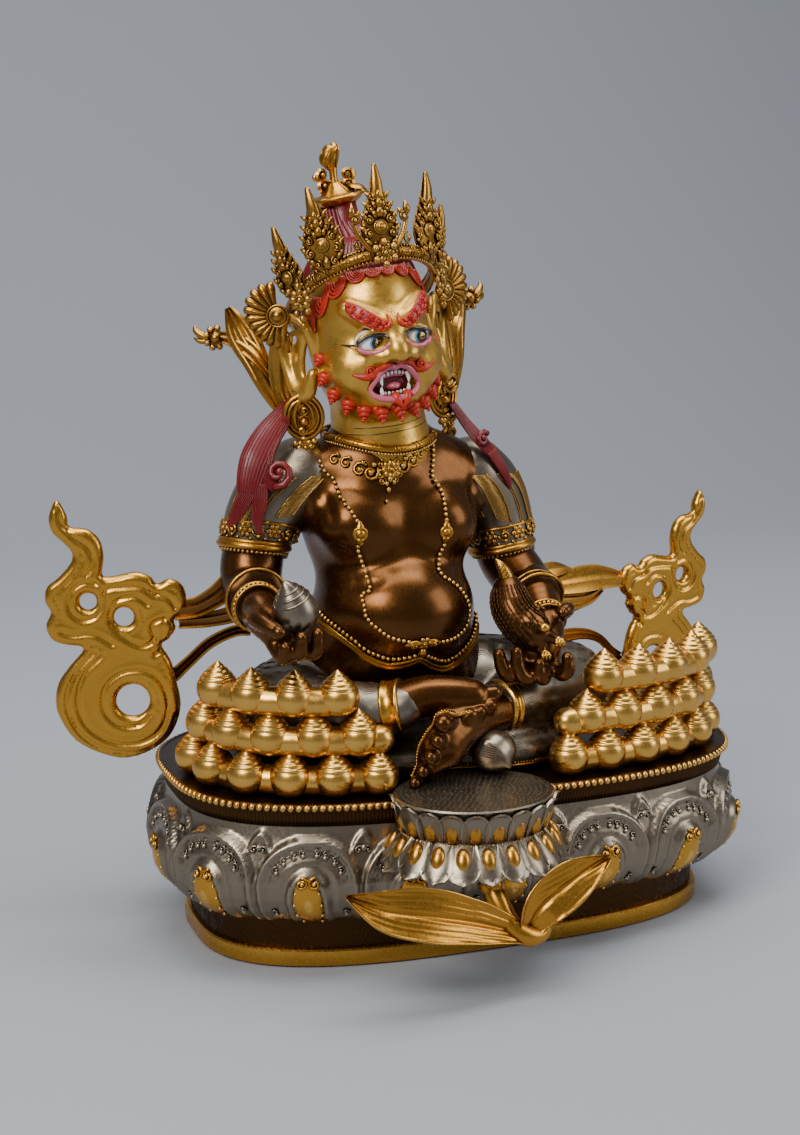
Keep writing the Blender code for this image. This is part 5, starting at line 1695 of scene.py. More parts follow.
def build_mongoose():
    """The mongoose: body, fur in short ridges, studded tail, and gilt nose, eyes and paws."""
    f = Form((34, -86, 152), (80, -30, 216), MONGOOSE_STEP)
    f.limb([(51, -46, 192), (51, -52, 184), (54, -58, 176), (59, -62, 170)], [8.6, 11.0, 10.6, 8.5], 4)
    f.limb([(57, -62, 178), (58.5, -68, 178), (59.5, -72.5, 177.4)], [7.2, 5.6, 3.4], 3)
    for x in (53.6, 63.0):
        f.ball((x, -63.5, 184), (2.6, 1.6, 2.8), 1.2)
    for x, z in ((70.5, 167.5), (62.5, 161.0)):
        f.limb([(62, -62, 172), ((62 + x) / 2, -66, z + 3), (x, -68.5, z)], [4.2, 3.4, 2.6], 2)
    body = form_soup(f, 1)
    ground = Ground(body)
    fur = Soup()
    axis = smooth_path([(51, -46, 194), (51, -52, 184), (54, -58, 176), (59, -62, 168)], 10)
    for i in range(len(axis) - 1):
        along = unit(axis[i + 1] - axis[i])
        for a in np.linspace(0, 2 * math.pi, 15)[:-1] + i * 0.22:
            side = unit(np.cross(along, (1, 0, 0)))
            other = np.cross(along, side)
            out = side * math.cos(a) + other * math.sin(a)
            p, n = ground.near(axis[i] + out * 14, 0.1)
            if n @ out < 0.2:
                continue
            flow = unit(along - n * (along @ n)) * 2.6
            fur.tube([p - flow * 0.4, p + flow * 0.5 + n * 0.35, p + flow * 1.1 + n * 0.2], [0.4, 0.62, 0.12], 5, per=1)
    tail = Soup()
    tail.tube([(50, -44, 189), (51, -45, 195), (49.5, -46, 201), (46.8, -45, 206), (44.5, -43, 209)],
        [5.2, 4.6, 3.6, 2.4, 0.6], 14, per=5)
    spine = smooth_path([(50, -44, 189), (51, -45, 195), (49.5, -46, 201), (46.8, -45, 206)], 6)
    for i, p in enumerate(spine):
        size = np.interp(i, (0, len(spine) - 1), (5.0, 2.5))
        for a in np.linspace(-2.4, -0.2, 4) + (i % 2) * 0.35:
            tail.ball(p + np.array((math.cos(a), math.sin(a), 0)) * size, 0.5, detail=(6, 4))
    gold = Soup()
    gold.ball((59.8, -75.0, 177.2), (3.0, 2.4, 2.4), detail=(16, 10))
    for x in (55.4, 62.4):
        gold.ball((x, -69.0, 180.4), 1.1, detail=(9, 6))
    for x, z in ((70.8, 167.2), (62.8, 160.6)):
        for d in (-1.5, 0, 1.5):
            gold.tube([(x + d, -69.5, z + 1.6), (x + d * 1.3, -71.6, z), (x + d * 1.4, -71.4, z - 2.2)],
                [0.9, 1.1, 0.5], 8)
        gold.ball((x, -69.4, z + 0.8), (2.6, 1.8, 2.2), detail=(12, 7))
    piece("mongoose_body", body, SKIN, "mongoose")
    piece("mongoose_fur", fur, DARK, "mongoose")
    piece("mongoose_tail", tail, OLD_GOLD, "mongoose")
    piece("mongoose_gilding", gold, GOLD, "mongoose")


build_mongoose()


# Legs and feet

LEG_SILVER = cast_metal("silvered leg cloth", (0.58, 0.53, 0.43), (0.22, 0.188, 0.145), (0.030, 0.017, 0.010),
    (0.30, 0.46), 0.005,
                        (0.38, 0.8), 0.4)


def build_legs():
    """The crossed legs under their cloth, with engraved arcs and a beaded hem."""
    f = Form((-112, -80, 93.6), (142, 66, 164), LEG_STEP)
    f.ball((0, 12, 108), (92, 50, 26), 10)
    f.limb([(-24, 10, 124), (-56, -4, 124), (-74, -16, 126)], [34, 31, 25], 8)
    f.limb([(-74, -18, 126), (-50, -40, 129), (-24, -55, 134), (-14, -60, 137)], [24, 21, 14.5, 12.5], 6)
    f.limb([(24, 10, 124), (66, -2, 123), (98, -14, 124)], [34, 32, 27], 8)
    f.limb([(100, -16, 125), (76, -34, 127), (52, -48, 129), (42, -54, 129)], [26, 22, 15.5, 13.5], 6)
    f.ball((46, -50, 106), (36, 20, 13), 6)
    f.ball((0, -30, 104), (50, 34, 14), 8)
    f.value = np.maximum(f.value, 95.2 - f.axes[2][None, None, :])
    for a, b, r in (((-58, -10, 152), (-34, -44, 150), 1.2), ((-40, -16, 153), (-22, -46, 150), 1.0),
        ((60, -14, 152), (50, -44, 146), 1.2),
                    ((80, -16, 150), (62, -44, 144), 1.0), ((96, -36, 134), (60, -58, 124), 1.0),
                        ((-86, -34, 132), (-40, -62, 126), 1.0)):
        f.limb([a, b], [r, r * 0.5], 5, carve=True)
    soup = form_soup(f, 2)
    piece("legs", soup, LEG_SILVER)
    ground = Ground(soup)
    lines = Soup()
    for row in range(15):
        for column in range(31):
            x = -100 + column * 7.8 + (row % 2) * 3.9
            z0 = 100 + row * 4.6
            p, n = ground.front(x, z0) if z0 < 128 else (None, None)
            if z0 >= 128:
                hit = ground.tree.ray_cast(Vector((x, -70 + (row - 6) * 8.6, 190)), Vector((0, 0, -1)))
                p, n = (None, None) if hit[0] is None else (np.array(hit[0]), np.array(hit[1]))
            if p is None or p[2] < 98:
                continue
            side = unit(np.cross((0, 0.3, 1), n))
            up = np.cross(n, side)
            for radius in (1.6, 2.9, 4.2):
                arc = [ground.near(p + side * math.cos(a) * radius + up * math.sin(a) * radius,
                    0.02)[0] for a in np.linspace(0.1, 3.0, 5)]
                lines.tube(arc, [0.12] + [0.27] * 3 + [0.12], 3, per=1)
    piece("leg_engraving", lines, DARK)
    # hems
    hem = Soup()
    for centre, axis, wide, deep, count in (((-19, -58.5, 136.5), (1, -0.62, 0.24), 13.6, 13.0, 9.5),
        ((45, -53.5, 129.2), (-1, -0.45, 0.05), 13.8, 13.2, 6.5)):
        centre, axis = np.asarray(centre, float), unit(axis)
        turn = facing((0, 0, 0), axis)[:3, :3]
        half = count / 2
        hem.lathe([(wide - 1.2, -half), (wide + 1.0, -half), (wide + 1.2, -half + 1.2), (wide + 0.5, -half + 1.8),
            (wide + 0.5, half - 1.8),
                   (wide + 1.2, half - 1.2), (wide + 1.0, half), (wide - 2.2, half + 0.2)], centre, turn, 44)
    piece("ankle_hems", hem, GOLD)
    edge = Soup()
    low = [ground.near(p, 0.4)[0] for p in smooth_path([(12, -66, 98), (26, -70, 97.6), (42, -72, 97.4),
        (58, -70, 97.4), (74, -62, 97.8), (84, -52, 100)], 6)]
    edge.tube(low, 1.0, 8, per=1)
    edge.beads(np.array(low) + (0, -0.6, 1.6), 0.7, 1.9)
    piece("cloth_edge", edge, OLD_GOLD)


build_legs()


def build_feet():
    f = Form((-36, -100, 93), (62, -40, 160), FOOT_STEP)
    nails = []
    # the right foot lies across the lap with its sole forward
    f.limb([(-16, -59, 137), (-4, -61, 141), (10, -64, 141.5), (22, -66, 140.5)], [12.0, 11.4, 10.6, 9.6], 4)
    for points, size in (([(22, -66, 141), (29, -69, 141.5), (33.5, -70.5, 142.5)], 4.6),
        ([(20, -68, 137), (26, -73, 136), (29.5, -75, 137)], 3.9),
                         ([(15, -70, 135.5), (20, -76, 134), (22.5, -78, 135)], 3.6),
                             ([(10, -70, 136), (14, -76, 133.6), (16.5, -78.5, 134)], 3.4)):
        finger(f, points, size, nails, (0.3, -1, 0.5))
    # the left foot stands in front, toes towards the base
    f.limb([(44, -54, 128), (28, -62, 128), (12, -70, 124), (4, -75, 117)], [13.0, 12.4, 12.6, 11.5], 4)
    f.ball((-2, -77, 118), (9, 8.5, 17), 5, turn=np.array(Matrix.Rotation(math.radians(22), 3, "Y")))
    toes = (((-2.6, -87, 133.6), 5.4), ((-6.2, -88.5, 124.8), 4.2), ((-9.8, -88.5, 116.4), 4.0),
        ((-13.6, -87, 108.8), 3.7), ((-17.2, -85, 102.4), 3.4))
    for (x, y, z), size in toes:
        finger(f, [(x + 9, y + 13, z - 3), (x + 4, y + 6, z - 1), (x, y, z)], size, nails, (-0.5, -1, 0.5))
    soup = form_soup(f, 1)
    piece("feet", soup, SKIN)
    tips = Soup()
    for place, along, out, size in nails:
        m = np.stack([np.cross(along, out), along, out], 1)
        tips.ball(place, (size * 0.52, size * 0.6, size * 0.30), m, (14, 9))
    piece("toenails", tips, SKIN)
    ground = Ground(soup)
    sole = Soup()
    row = ground.lay([(14, -82, 138), (4, -84, 138), (-6, -80, 134), (-12, -78, 126), (-15, -76, 116),
        (-19, -76, 106)], 0.3)
    sole.tube(row, 0.9, 8, per=1)
    sole.beads(row + (-0.3, -0.4, 0.9), 0.6, 1.7)
    piece("sole_edge", sole, OLD_GOLD)


build_feet()


def build_conch():
    f = Form((12, -92, 96), (52, -56, 128), CONCH_STEP)
    f.ball((32, -74, 111.6), (12.6, 11.2, 11.4), 2)
    f.limb([(25, -80.5, 118), (32, -83.6, 112), (38, -82, 105)], [1.4, 1.6, 1.3], 3.5)
    soup = form_soup(f, 2)
    ground = Ground(soup)
    marks = Soup()
    for k in range(6):
        t = k / 5
        a, b = np.array((20.5 + 3.2 * t, -82, 112 + 6.5 * t)), np.array((27.5 + 1.5 * t, -86, 110.8 + 6.5 * t))
        marks.tube([ground.near(a + (b - a) * q, 0.02)[0] for q in (0, 0.33, 0.66, 1)], [0.12, 0.28, 0.28, 0.12], 5,
            per=2)
    piece("conch", soup, SILVER, "conch")
    piece("conch_marks", marks, DARK, "conch")


build_conch()


# Locks on the shoulders

def build_locks():
    red = Soup()

    def lock(points, widths, normal):
        """A flat lock of hair with fine strands."""
        line = smooth_path(np.column_stack([points, widths]), 6)
        along = np.gradient(line[:, :3], axis=0)
        n = unit(normal)
        side = np.array([unit(np.cross(a, n)) for a in along])
        red.tube(line[:, :3], line[:, 3], 14, per=1, flat=0.34, normal=n)
        for k in np.linspace(-0.82, 0.82, 9):
            lift = 0.34 * np.sqrt(1 - k * k)
            red.tube(line[:, :3] + side * (line[:, 3] * k)[:, None] + n * (line[:, 3] * lift)[:, None],
                np.minimum(0.42, line[:, 3] * 0.3), 5, per=1)

    n = (-0.35, -1, 0.35)
    lock([(-46, 8, 297), (-60, 0, 288), (-72, -8, 277), (-80, -13, 266), (-84, -15, 256), (-86, -16, 247)],
        [3, 5, 7.5, 8.5, 7.5, 6.0], n)
    lock([(-85, -16, 250), (-89, -16, 242), (-92.5, -15, 235), (-96, -13, 230.5)], [4.5, 4.2, 3.2, 1.2], n)
    lock([(-80, -17, 252), (-80.5, -19, 243), (-82, -20, 234), (-80.5, -20, 226)], [4.8, 4.2, 3.0, 1.2], n)
    lock([(-62, -4, 284), (-74, -13, 270), (-77, -17, 258), (-72, -20, 250)], [4.0, 4.5, 4.2, 3.0], n)
    red.spiral((-70.5, -19.5, 258), (0.9, -0.35, 0.1), (0, 0.3, 1), 7.6, 1.35, 2.2, -1.9, 1.2, sides=10)
    lock([(38, 6, 288), (43, -2, 278), (49, -9, 269), (55, -13, 262)], [2.6, 3.6, 4.2, 3.4], (0.3, -1, 0.3))
    lock([(54, -13, 263), (60, -14, 254), (65, -12, 246), (67, -10, 241)], [3.2, 3.0, 2.2, 0.8], (0.3, -1, 0.3))
    red.spiral((49, -12.5, 270), (0.9, 0.3, 0.1), (0, 0.3, 1), 4.6, 1.2, 1.6, 0.5, 0.9, sides=8)
    piece("shoulder_locks", red, RED)


build_locks()


# The crown, in the head's own frame

CROWN_GOLD = cast_metal("gilt crown", (0.95, 0.62, 0.19), (0.40, 0.195, 0.034), (0.035, 0.010, 0.003), (0.24, 0.42),
    0.0035, (0.22, 0.62), 0.35)


def crown_line(turn, out=0.0, up=0.0):
    return np.array(((39 + out) * math.sin(turn), 2 - (46 + out) * math.cos(turn), 350 + 24 * math.cos(turn) + up))


class Panel:
    """A flat face to build on: u across, v up, lift outwards, all in millimetres."""

    def __init__(self, base, top, normal):
        self.base = np.asarray(base, float)
        self.up = unit(np.asarray(top, float) - self.base)
        self.tall = float(np.linalg.norm(np.asarray(top, float) - self.base))
        self.out = unit(np.asarray(normal, float) - self.up * np.dot(normal, self.up))
        self.side = np.cross(self.up, self.out)

    def at(self, u, v, lift=0.0):
        return self.base + self.side * u + self.up * v + self.out * lift

    def tube(self, soup, rows, radii, sides=8, flat=1.0, per=4):
        soup.tube([self.at(*row) for row in rows], radii, sides, flat, self.out, per)

    def volute(self, soup, u, v, lift, radius, flip=1, start=0.0, thick=None):
        soup.spiral(self.at(u, v, lift), self.side, self.up, radius, 1.4, thick or radius * 0.30, start,
            radius * 0.22, flip=flip)

    def drop(self, soup, u, v, lift, wide, tall, deep, lean=0.0):
        """A pointed bud that grows upwards."""
        tip = (u + tall * math.sin(lean), v + tall * math.cos(lean), lift * 0.7)
        mid = (u + tall * 0.45 * math.sin(lean * 0.8), v + tall * 0.45 * math.cos(lean * 0.8), lift + deep * 0.4)
        self.tube(soup, [(u, v, lift), mid, tip], [wide * 0.8, wide, wide * 0.12], 6, deep / wide)


def build_leaf(soup, panel, wide, flames):
    """One leaf: a plate, a boss, curls up both sides, stacked buds and a long plain tip."""
    h, w = panel.tall, wide / 2
    share = np.array([(0, .40), (.12, .82), (.27, 1.0), (.42, .86), (.56, .62), (.70, .38), (.84, .22), (1.0, .05)])
    soup.tube([panel.at(0, h * a, -1.0) for a, _ in share], [w * b for _, b in share], 14, 0.13, panel.out, 3)
    for s in (-1, 1):
        for u, v, r, flip in ((.40, .08, 2.3, 1), (.62, .23, 2.5, -1), (.56, .38, 2.2, 1), (.40, .50, 1.9, -1),
            (.26, .61, 1.6, 1)):
            panel.volute(soup, s * w * u, h * v, 1.0, r, s * flip, math.pi / 2)
            panel.drop(soup, s * (w * u + r * 0.75), h * v + r * 0.3, 0.6, 1.25, 4.6, 1.0, s * 0.75)
        for v, u in ((.17, .80), (.33, .88), (.47, .66)):
            soup.ball(panel.at(s * w * u, h * v, 0.8), 0.95, detail=(8, 5))
    # the boss with its ring
    centre = panel.at(0, h * 0.30, 0.8)
    turn = facing((0, 0, 0), panel.out, panel.up)[:3, :3]
    soup.lathe([(3.7, -1.2), (3.8, 0.5), (3.2, 0.9), (2.9, 0.6), (2.3, 2.4), (1.5, 3.1), (0.8, 2.9), (0.4, 3.8)],
        centre, turn, 20)
    panel.drop(soup, 0, h * 0.02, 1.0, 2.2, h * 0.16, 1.5)
    for v, r in ((.42, 2.3), (.52, 2.0), (.61, 1.7)):
        panel.drop(soup, 0, h * v, 1.2, r, h * 0.13, 1.7)
        for s in (-1, 1):
            panel.drop(soup, s * r * 0.9, h * v - 0.5, 0.7, r * 0.62, h * 0.10, 1.2, s * 0.42)
    panel.tube(soup, [(0, h * 0.62, 0.3), (0.2, h * 0.80, 0.9), (0, h * 1.0, 0.2)], [3.6, 2.9, 1.2], 10, 0.6)
    # plain rib behind, so that the back isn't bare
    panel.tube(soup, [(0, h * 0.02, -1.8), (0, h * 0.45, -2.2), (0, h * 0.92, -1.2)], [1.6, 1.3, 0.5], 7)
    for s in flames:
        panel.tube(soup, [(0, -0.5, 0.4), (s * 7, 3, 0.6), (s * 12, 10, 0.2), (s * 14.5, 17, 0)],
            [1.5, 1.5, 1.4, 1.0], 8, 0.8)
        panel.tube(soup, [(s * 3, 0, 1.6), (s * 8.5, 4.4, 1.6), (s * 12.0, 11, 1.2)], [0.5, 0.6, 0.4], 6)
        panel.volute(soup, s * 13.5, 18.0, 0.8, 2.6, s, math.pi / 2, 0.95)
        panel.drop(soup, s * 15, 19.5, 0.5, 1.9, 7.0, 1.4, -s * 0.1)
        panel.drop(soup, s * 12.2, 19.0, 0.5, 1.2, 4.6, 1.1, -s * 0.5)


def build_crown():
    """The band with its beads and rings, five leaves, and the curls that join them."""
    soup = Soup()
    turns = np.arange(96) * 2 * math.pi / 96
    soup.tube([crown_line(t) for t in turns], 2.7, 12, per=1, closed=True)
    for shift, lift, radius in ((-3.2, 0.3, 0.95), (3.3, 0.0, 0.95)):
        front = [crown_line(t, lift, shift) for t in np.linspace(-2.0, 2.0, 90)]
        soup.beads(front, radius, 2.05, detail=(7, 4))
    soup.tube([crown_line(t, -0.9, -3.3) for t in turns], 1.0, 8, per=1, closed=True)
    soup.tube([crown_line(t, -0.9, 3.4) for t in turns], 1.0, 8, per=1, closed=True)
    for t in np.linspace(-1.15, 1.15, 13):
        p = crown_line(t)
        along = unit(crown_line(t + 0.02) - p)
        for d in (-0.9, 0.9):
            soup.tube(hoop(p + along * d, along, 2.9, 2.9, (0, 0, 1), 14), 0.4, 5, per=1, closed=True)
        q = crown_line(t + 0.09, 2.5)
        n = unit((math.sin(t + 0.09), -math.cos(t + 0.09), 0))
        soup.tube(hoop(q, n, 1.3, 1.3, (0, 0, 1), 12), 0.35, 5, per=1, closed=True)
        soup.ball(q + n * 0.2, 0.6, detail=(8, 5))
    # leaves
    build_leaf(soup, Panel((-1.8, -45.2, 373.5), (0.6, -39.5, 418.3), (0, -1, 0.1)), 20.5, (-1, 1))
    for s in (-1, 1):
        build_leaf(soup, Panel((s * 27.5, -33.5, 368.5), (s * 32.5, -28, 410.2), (s * 0.50, -0.82, 0.05)), 22.5, ())
        build_leaf(soup, Panel((s * 40.3, -11, 354.0), (s * 47, -8, 391.5), (s * 0.90, -0.42, 0.05)), 21.5, ())
        # curls that join the leaves
        for turn, lift in ((0.36, 7), (0.98, 7), (0.98, 2.5)):
            p = crown_line(s * turn, 0.6, lift)
            n = unit((math.sin(s * turn), -math.cos(turn), 0))
            volute(soup, p, n, 3.0, s, math.pi / 2)
            soup.ball(p + n * 1.2, 0.9, detail=(8, 5))
    # the middle flower
    p = crown_line(-0.03, 3.4)
    n = unit((-0.05, -1, 0.15))
    flower(soup, p, n, 5.2, 6)
    for a in np.arange(6) * math.pi / 3 + math.pi / 6:
        q = p + np.array((math.cos(a) * 5.6, -0.4, math.sin(a) * 5.6))
        soup.ball(q, (2.0, 1.6, 2.0), detail=(10, 6))
        soup.ball(q - (0, 1.4, 0), 0.8, detail=(8, 5))
    # flower clusters where the band meets the ears
    for s in (-1, 1):
        n = unit((s * 0.62, -0.78, 0))
        p = np.array((s * 38.2, -14.5, 353.5)) + n * 2.4
        flower(soup, p, n, 6.4, 8)
        for dx, dz, r in ((0, 7.0, 2.4), (-3.6, -6.4, 2.0), (2.6, -7.0, 2.0), (-0.5, -10.0, 2.2),
            (-0.5, -13.6, 1.9), (5.6, 4.4, 1.9), (-5.8, 4.8, 1.9)):
            q = p + np.array((-n[1] * dx * s, n[0] * dx * s, dz))
            soup.ball(q, (r, r * 0.8, r), detail=(10, 6))
            soup.ball(q + n * r * 0.7, r * 0.4, detail=(8, 5))
    head_piece("crown", soup, CROWN_GOLD, "crown")


def build_fans():
    """The two fans at the temples and the ribbons that fly out behind them."""
    fan, strips = Soup(), Soup()
    for s in (-1, 1):
        n = unit((s * 0.42, -0.90, 0.05))
        side = unit(np.cross((0, 0, 1), n)) * s
        side = side if side[0] * s > 0 else -side
        up = unit(np.cross(n, side)) * (1 if np.cross(n, side)[2] > 0 else -1)
        boss = np.array((s * 47.5, 1.5, 345.0))
        for k, a in enumerate(np.linspace(math.radians(82), math.radians(-82), 11)):
            d = side * math.cos(a) + up * math.sin(a)
            reach = 17.0 + 1.6 * math.sin(2 * a)
            tip = boss + d * reach - n * 0.5
            fan.tube([boss + d * 3, boss + d * 9 + n * 0.7, boss + d * (reach - 3) + n * 0.2, tip],
                [0.8, 1.5, 2.5, 2.0], 9, per=3)
            fan.tube([boss + d * 5 + n * 1.6, boss + d * (reach - 4) + n * 2.5], [0.35, 0.45], 5)
        plate = [boss + (side * math.cos(a) + up * math.sin(a)) * 13.5 - n * 1.0 for a in np.linspace(1.4, -1.4, 14)]
        rows = [boss - n * 1.0] + plate + [boss - n * 2.4] + [q - n * 1.4 for q in plate]
        faces = [(0, k, k + 1) for k in range(1, 14)] + [(15, 15 + k + 1, 15 + k) for k in range(1, 14)]
        faces += [(k, 15 + k, 16 + k, k + 1) for k in range(1, 14)] + [(0, 15, 16, 1), (14, 29, 15, 0)]
        fan.add(rows, faces)
        turn = facing((0, 0, 0), n)[:3, :3]
        fan.lathe([(5.0, -2), (5.0, 1.6), (4.2, 2.6), (3.6, 2.2), (3.0, 3.8), (1.8, 4.9), (0.6, 5.3)], boss, turn, 24)
        fan.tube(hoop(boss + n * 1.8, n, 5.6, 5.6, (0, 0, 1)), 0.7, 7, per=1, closed=True)
        # ribbons: up from behind the ear to a flared tip, with a loop below
        look = (s * 0.35, -0.95, 0.1)
        ribbon(strips, [(s * 46.5, 6, 334), (s * 48.5, 9, 318), (s * 49, 9, 305), (s * 47, 6, 295),
            (s * 44.5, 3, 292)], [10, 11, 9.5, 7, 4.5], look, 1.5, 2, 0.5)
        ribbon(strips, [(s * 45, 3, 291.5), (s * 50, 7, 294), (s * 54.5, 12, 306), (s * 58, 18, 321),
            (s * 62.5, 25, 336), (s * 66.5, 30, 350)],
               [4.5, 7, 11, 14.5, 16, 4], look, 1.6, 3, 0.6)
        ribbon(strips, [(s * 52, 11, 312), (s * 58, 17, 324), (s * 65, 26, 332), (s * 72, 33, 335)], [5, 8, 9, 6],
            look, 1.6, 2, 0.9)
        strips.tube(hoop((s * 47, 5.5, 293.5), (s * 0.3, -0.95, 0), 4.4, 4.4, (0, 0, 1), 20), 1.5, 9, per=2,
            closed=True)
        jewel = np.array((s * 74.5, 34, 334.6))
        n2 = unit((s * 0.25, -0.96, 0.1))
        fan.lathe([(4.6, -2.4), (4.8, 0), (3.9, 1.2), (3.2, 0.8), (2.8, 2.6), (1.6, 3.7), (0.5, 4.1)], jewel,
            facing((0, 0, 0), n2)[:3, :3], 22)
        for a in np.linspace(-1.9, 1.9, 6):
            q = jewel + np.array((s * math.cos(a) * 5.2, 0, math.sin(a) * 5.2))
            fan.ball(q, (2.0, 1.8, 2.0), detail=(10, 6))
            fan.ball(q - (0, 1.5, 0), 0.8, detail=(8, 5))
        fan.tube([jewel + (s * 4, 0, 0.5), jewel + (s * 7, 2, 2.5), jewel + (s * 9.5, 4, 5.5),
            jewel + (s * 9.2, 4.6, 8.0)], [2.2, 2.4, 1.6, 0.3], 10)
        fan.tube([jewel + (s * 5, 0, -1), jewel + (s * 8.6, 2, -0.6), jewel + (s * 11.0, 4, 1.4)], [1.6, 1.4, 0.3], 8)
    head_piece("crown_fans", fan, CROWN_GOLD, "crown")
    head_piece("crown_ribbons", strips, CROWN_GOLD, "crown", 40)


def build_topknot():
    knot, gold = Soup(), Soup()
    # hair drawn up into the knot, strand by strand
    for k in range(26):
        a = 2 * math.pi * k / 26
        c, s = math.cos(a), math.sin(a)
        knot.tube([(17 * c, 8 + 17 * s, 371), (13.5 * c - 1, 9 + 13 * s, 379), (9.5 * c - 3, 11 + 9 * s, 387),
            (8.2 * c - 4, 13 + 8 * s, 396)],
                  [2.4, 2.1, 1.6, 1.4], 8, per=4)
    knot.lathe([(18, 364), (16.5, 372), (12.5, 380), (8.8, 388), (7.5, 398), (2, 401)], (-2, 10, 0), None, 28)
    # the hair over the top and back of the head
    for k in range(64):
        a = 2 * math.pi * k / 64
        c, s = math.cos(a), math.sin(a)
        top = []
        for t in np.linspace(0.30, 1.15 if s > -0.2 else 0.9, 7):
            top.append(FACE.near((33 * math.sin(t) * c, 2 + 43 * math.sin(t) * s, 338 + 44 * math.cos(t)), 0.3)[0])
        knot.tube(top, [1.2, 1.5, 1.8, 2.0, 2.0, 1.9, 1.4], 7, per=2)
    head_piece("topknot_hair", knot, RED, "topknot")
    lean = np.array(Matrix.Rotation(math.radians(-6), 3, "Y"))
    gold.lathe([(4, -5), (9, -3.6), (13.0, -0.6), (14.2, 1.4), (13.4, 2.6), (11, 2.2), (8, 3.6), (5, 6.6), (3, 9)],
        (-3.0, 14, 400), lean, 48,
               lambda t, h: 1 + 0.045 * np.sin(9 * t) + 0.02 * np.sin(17 * t + 1))
    gold.tube(hoop((-3.2, 14, 401.4), (-0.1, 0, 1), 14.4, 14.4, (0, 1, 0), 40), 0.9, 8, per=2, closed=True)
    gold.tube([(4, 10, 406.5), (9, 9, 405), (13.4, 9, 401.6)], [2.2, 4.2, 1.2], 12, 0.35, (0.3, -0.4, 1), 5)
    gold.tube([(-3, 16, 404), (-2.6, 17, 411), (-2.2, 18, 418)], [2.6, 2.0, 2.4], 12)
    for s, x, z in ((-1, -9.0, 413.4), (1, 4.6, 412.4), (-1, -8.6, 407.8), (1, 4.4, 407.2)):
        gold.spiral((x, 15.6, z), (s, -0.2, 0), (0, 0, 1), 4.0, 1.35, 1.25, -math.pi / 2, 0.9)
        gold.ball((x, 15.0, z), 1.3, detail=(9, 6))
        gold.tube([(-2.6, 17, z - 4), (x * 0.6 - 1, 16.6, z - 3.6), (x + s * 3.4, 16, z - 1)], [1.1, 1.2, 0.9], 8)
    for s in (-1, 1):
        gold.ball((-2.6 + s * 10.6, 15.6, 412.6), (1.9, 1.6, 2.2), detail=(10, 6))
    flame = np.array([(-2.4, 18, 416), (-3.8, 18, 420), (-2.8, 18, 424.6), (-0.6, 18, 427.6), (-1.0, 18, 429.8)])
    gold.tube(flame, [2.4, 4.3, 4.4, 2.9, 0.5], 16, per=6)
    for k in range(7):
        a = 2 * math.pi * k / 7
        d = np.array((math.cos(a), math.sin(a), 0))
        twist = np.array((-math.sin(a), math.cos(a), 0))
        gold.tube([flame[0] + d * 2.2, flame[1] + d * 4.2 + twist * 0.8, flame[2] + d * 4.0 + twist * 2.0,
            flame[3] + d * 2.0 + twist * 2.2],
                  [0.4, 0.9, 0.8, 0.2], 7, per=5)
    head_piece("topknot_finial", gold, OLD_GOLD, "topknot", 40)


def build_earring(name, centre, normal, drop_lean):
    soup = Soup()
    centre, n = np.asarray(centre, float), unit(normal)
    turn = facing((0, 0, 0), n)[:3, :3]
    soup.lathe([(0.5, -1.6), (0.93, -1.5), (1.0, -0.4), (0.93, 0.4), (0.5, 0.1), (0.1, 0.2)], (0, 0, 0), None, 36)
    soup.verts[0] = (soup.verts[0] * (10.4, 12.0, 1)) @ turn.T + centre
    for share, thick in ((0.97, 1.25), (0.76, 0.95)):
        soup.tube(hoop(centre + n * 0.4, n, 10.4 * share, 12.0 * share, (0, 0, 1), 36), thick, 9, per=2, closed=True)
    x, y = turn[:, 0], turn[:, 1]
    soup.lathe([(3.6, -0.6), (3.7, 0.8), (3.0, 1.5), (2.6, 1.2), (2.0, 2.8), (1.0, 3.7), (0.3, 3.9)],
        centre - y * 2.6 + n * 0.3, turn, 20)
    soup.spiral(centre + y * 3.4 + n * 1.0 + x * 0.6, x, y, 3.4, 1.3, 1.1, math.pi / 2, 0.7)
    soup.spiral(centre - y * 7.2 + n * 0.9 - x * 1.4, x, y, 2.5, 1.2, 0.9, 0, 0.6, flip=-1)
    soup.tube([centre + y * 9 + n, centre + y * 5.5 - x * 3.2 + n * 1.2, centre + y * 0.5 - x * 5.0 + n,
        centre - y * 5 - x * 4.2 + n], [0.7, 1.2, 1.1, 0.4], 8)
    soup.tube([centre + y * 8 + x * 1.5 + n, centre + y * 4 + x * 4.6 + n, centre - y * 2 + x * 5.0 + n],
        [0.6, 1.0, 0.4], 8)
    # the hook into the lobe and the flower that hangs below
    soup.tube([centre + y * 11.2, centre + y * 13.4 - n * 1.4, centre + y * 12.6 - n * 4], [1.4, 1.3, 1.2], 8)
    low = centre - y * 16.4 + np.array(drop_lean, float)
    flower(soup, low + n * 0.4, n, 5.0, 8)
    for s in (-1, 1):
        soup.ball(low + x * s * 5.0 + y * 2.6, (2.0, 1.8, 2.0), detail=(10, 6))
        soup.ball(low + x * s * 5.0 + y * 2.6 + n * 1.5, 0.8, detail=(8, 5))
        soup.tube([low + x * s * 2.8 - y * 2.6, low + x * s * 4.4 - y * 5.4, low + x * s * 2.2 - y * 8.0],
            [1.4, 1.6, 0.4], 8)
    soup.ball(low + y * 4.8, (2.6, 2.0, 1.6), detail=(10, 6))
    soup.tube([low - y * 4, low - y * 7.0 + n * 0.5, low - y * 10.4], [1.8, 2.2, 0.4], 10)
    head_piece(name, soup, OLD_GOLD, name, 40)


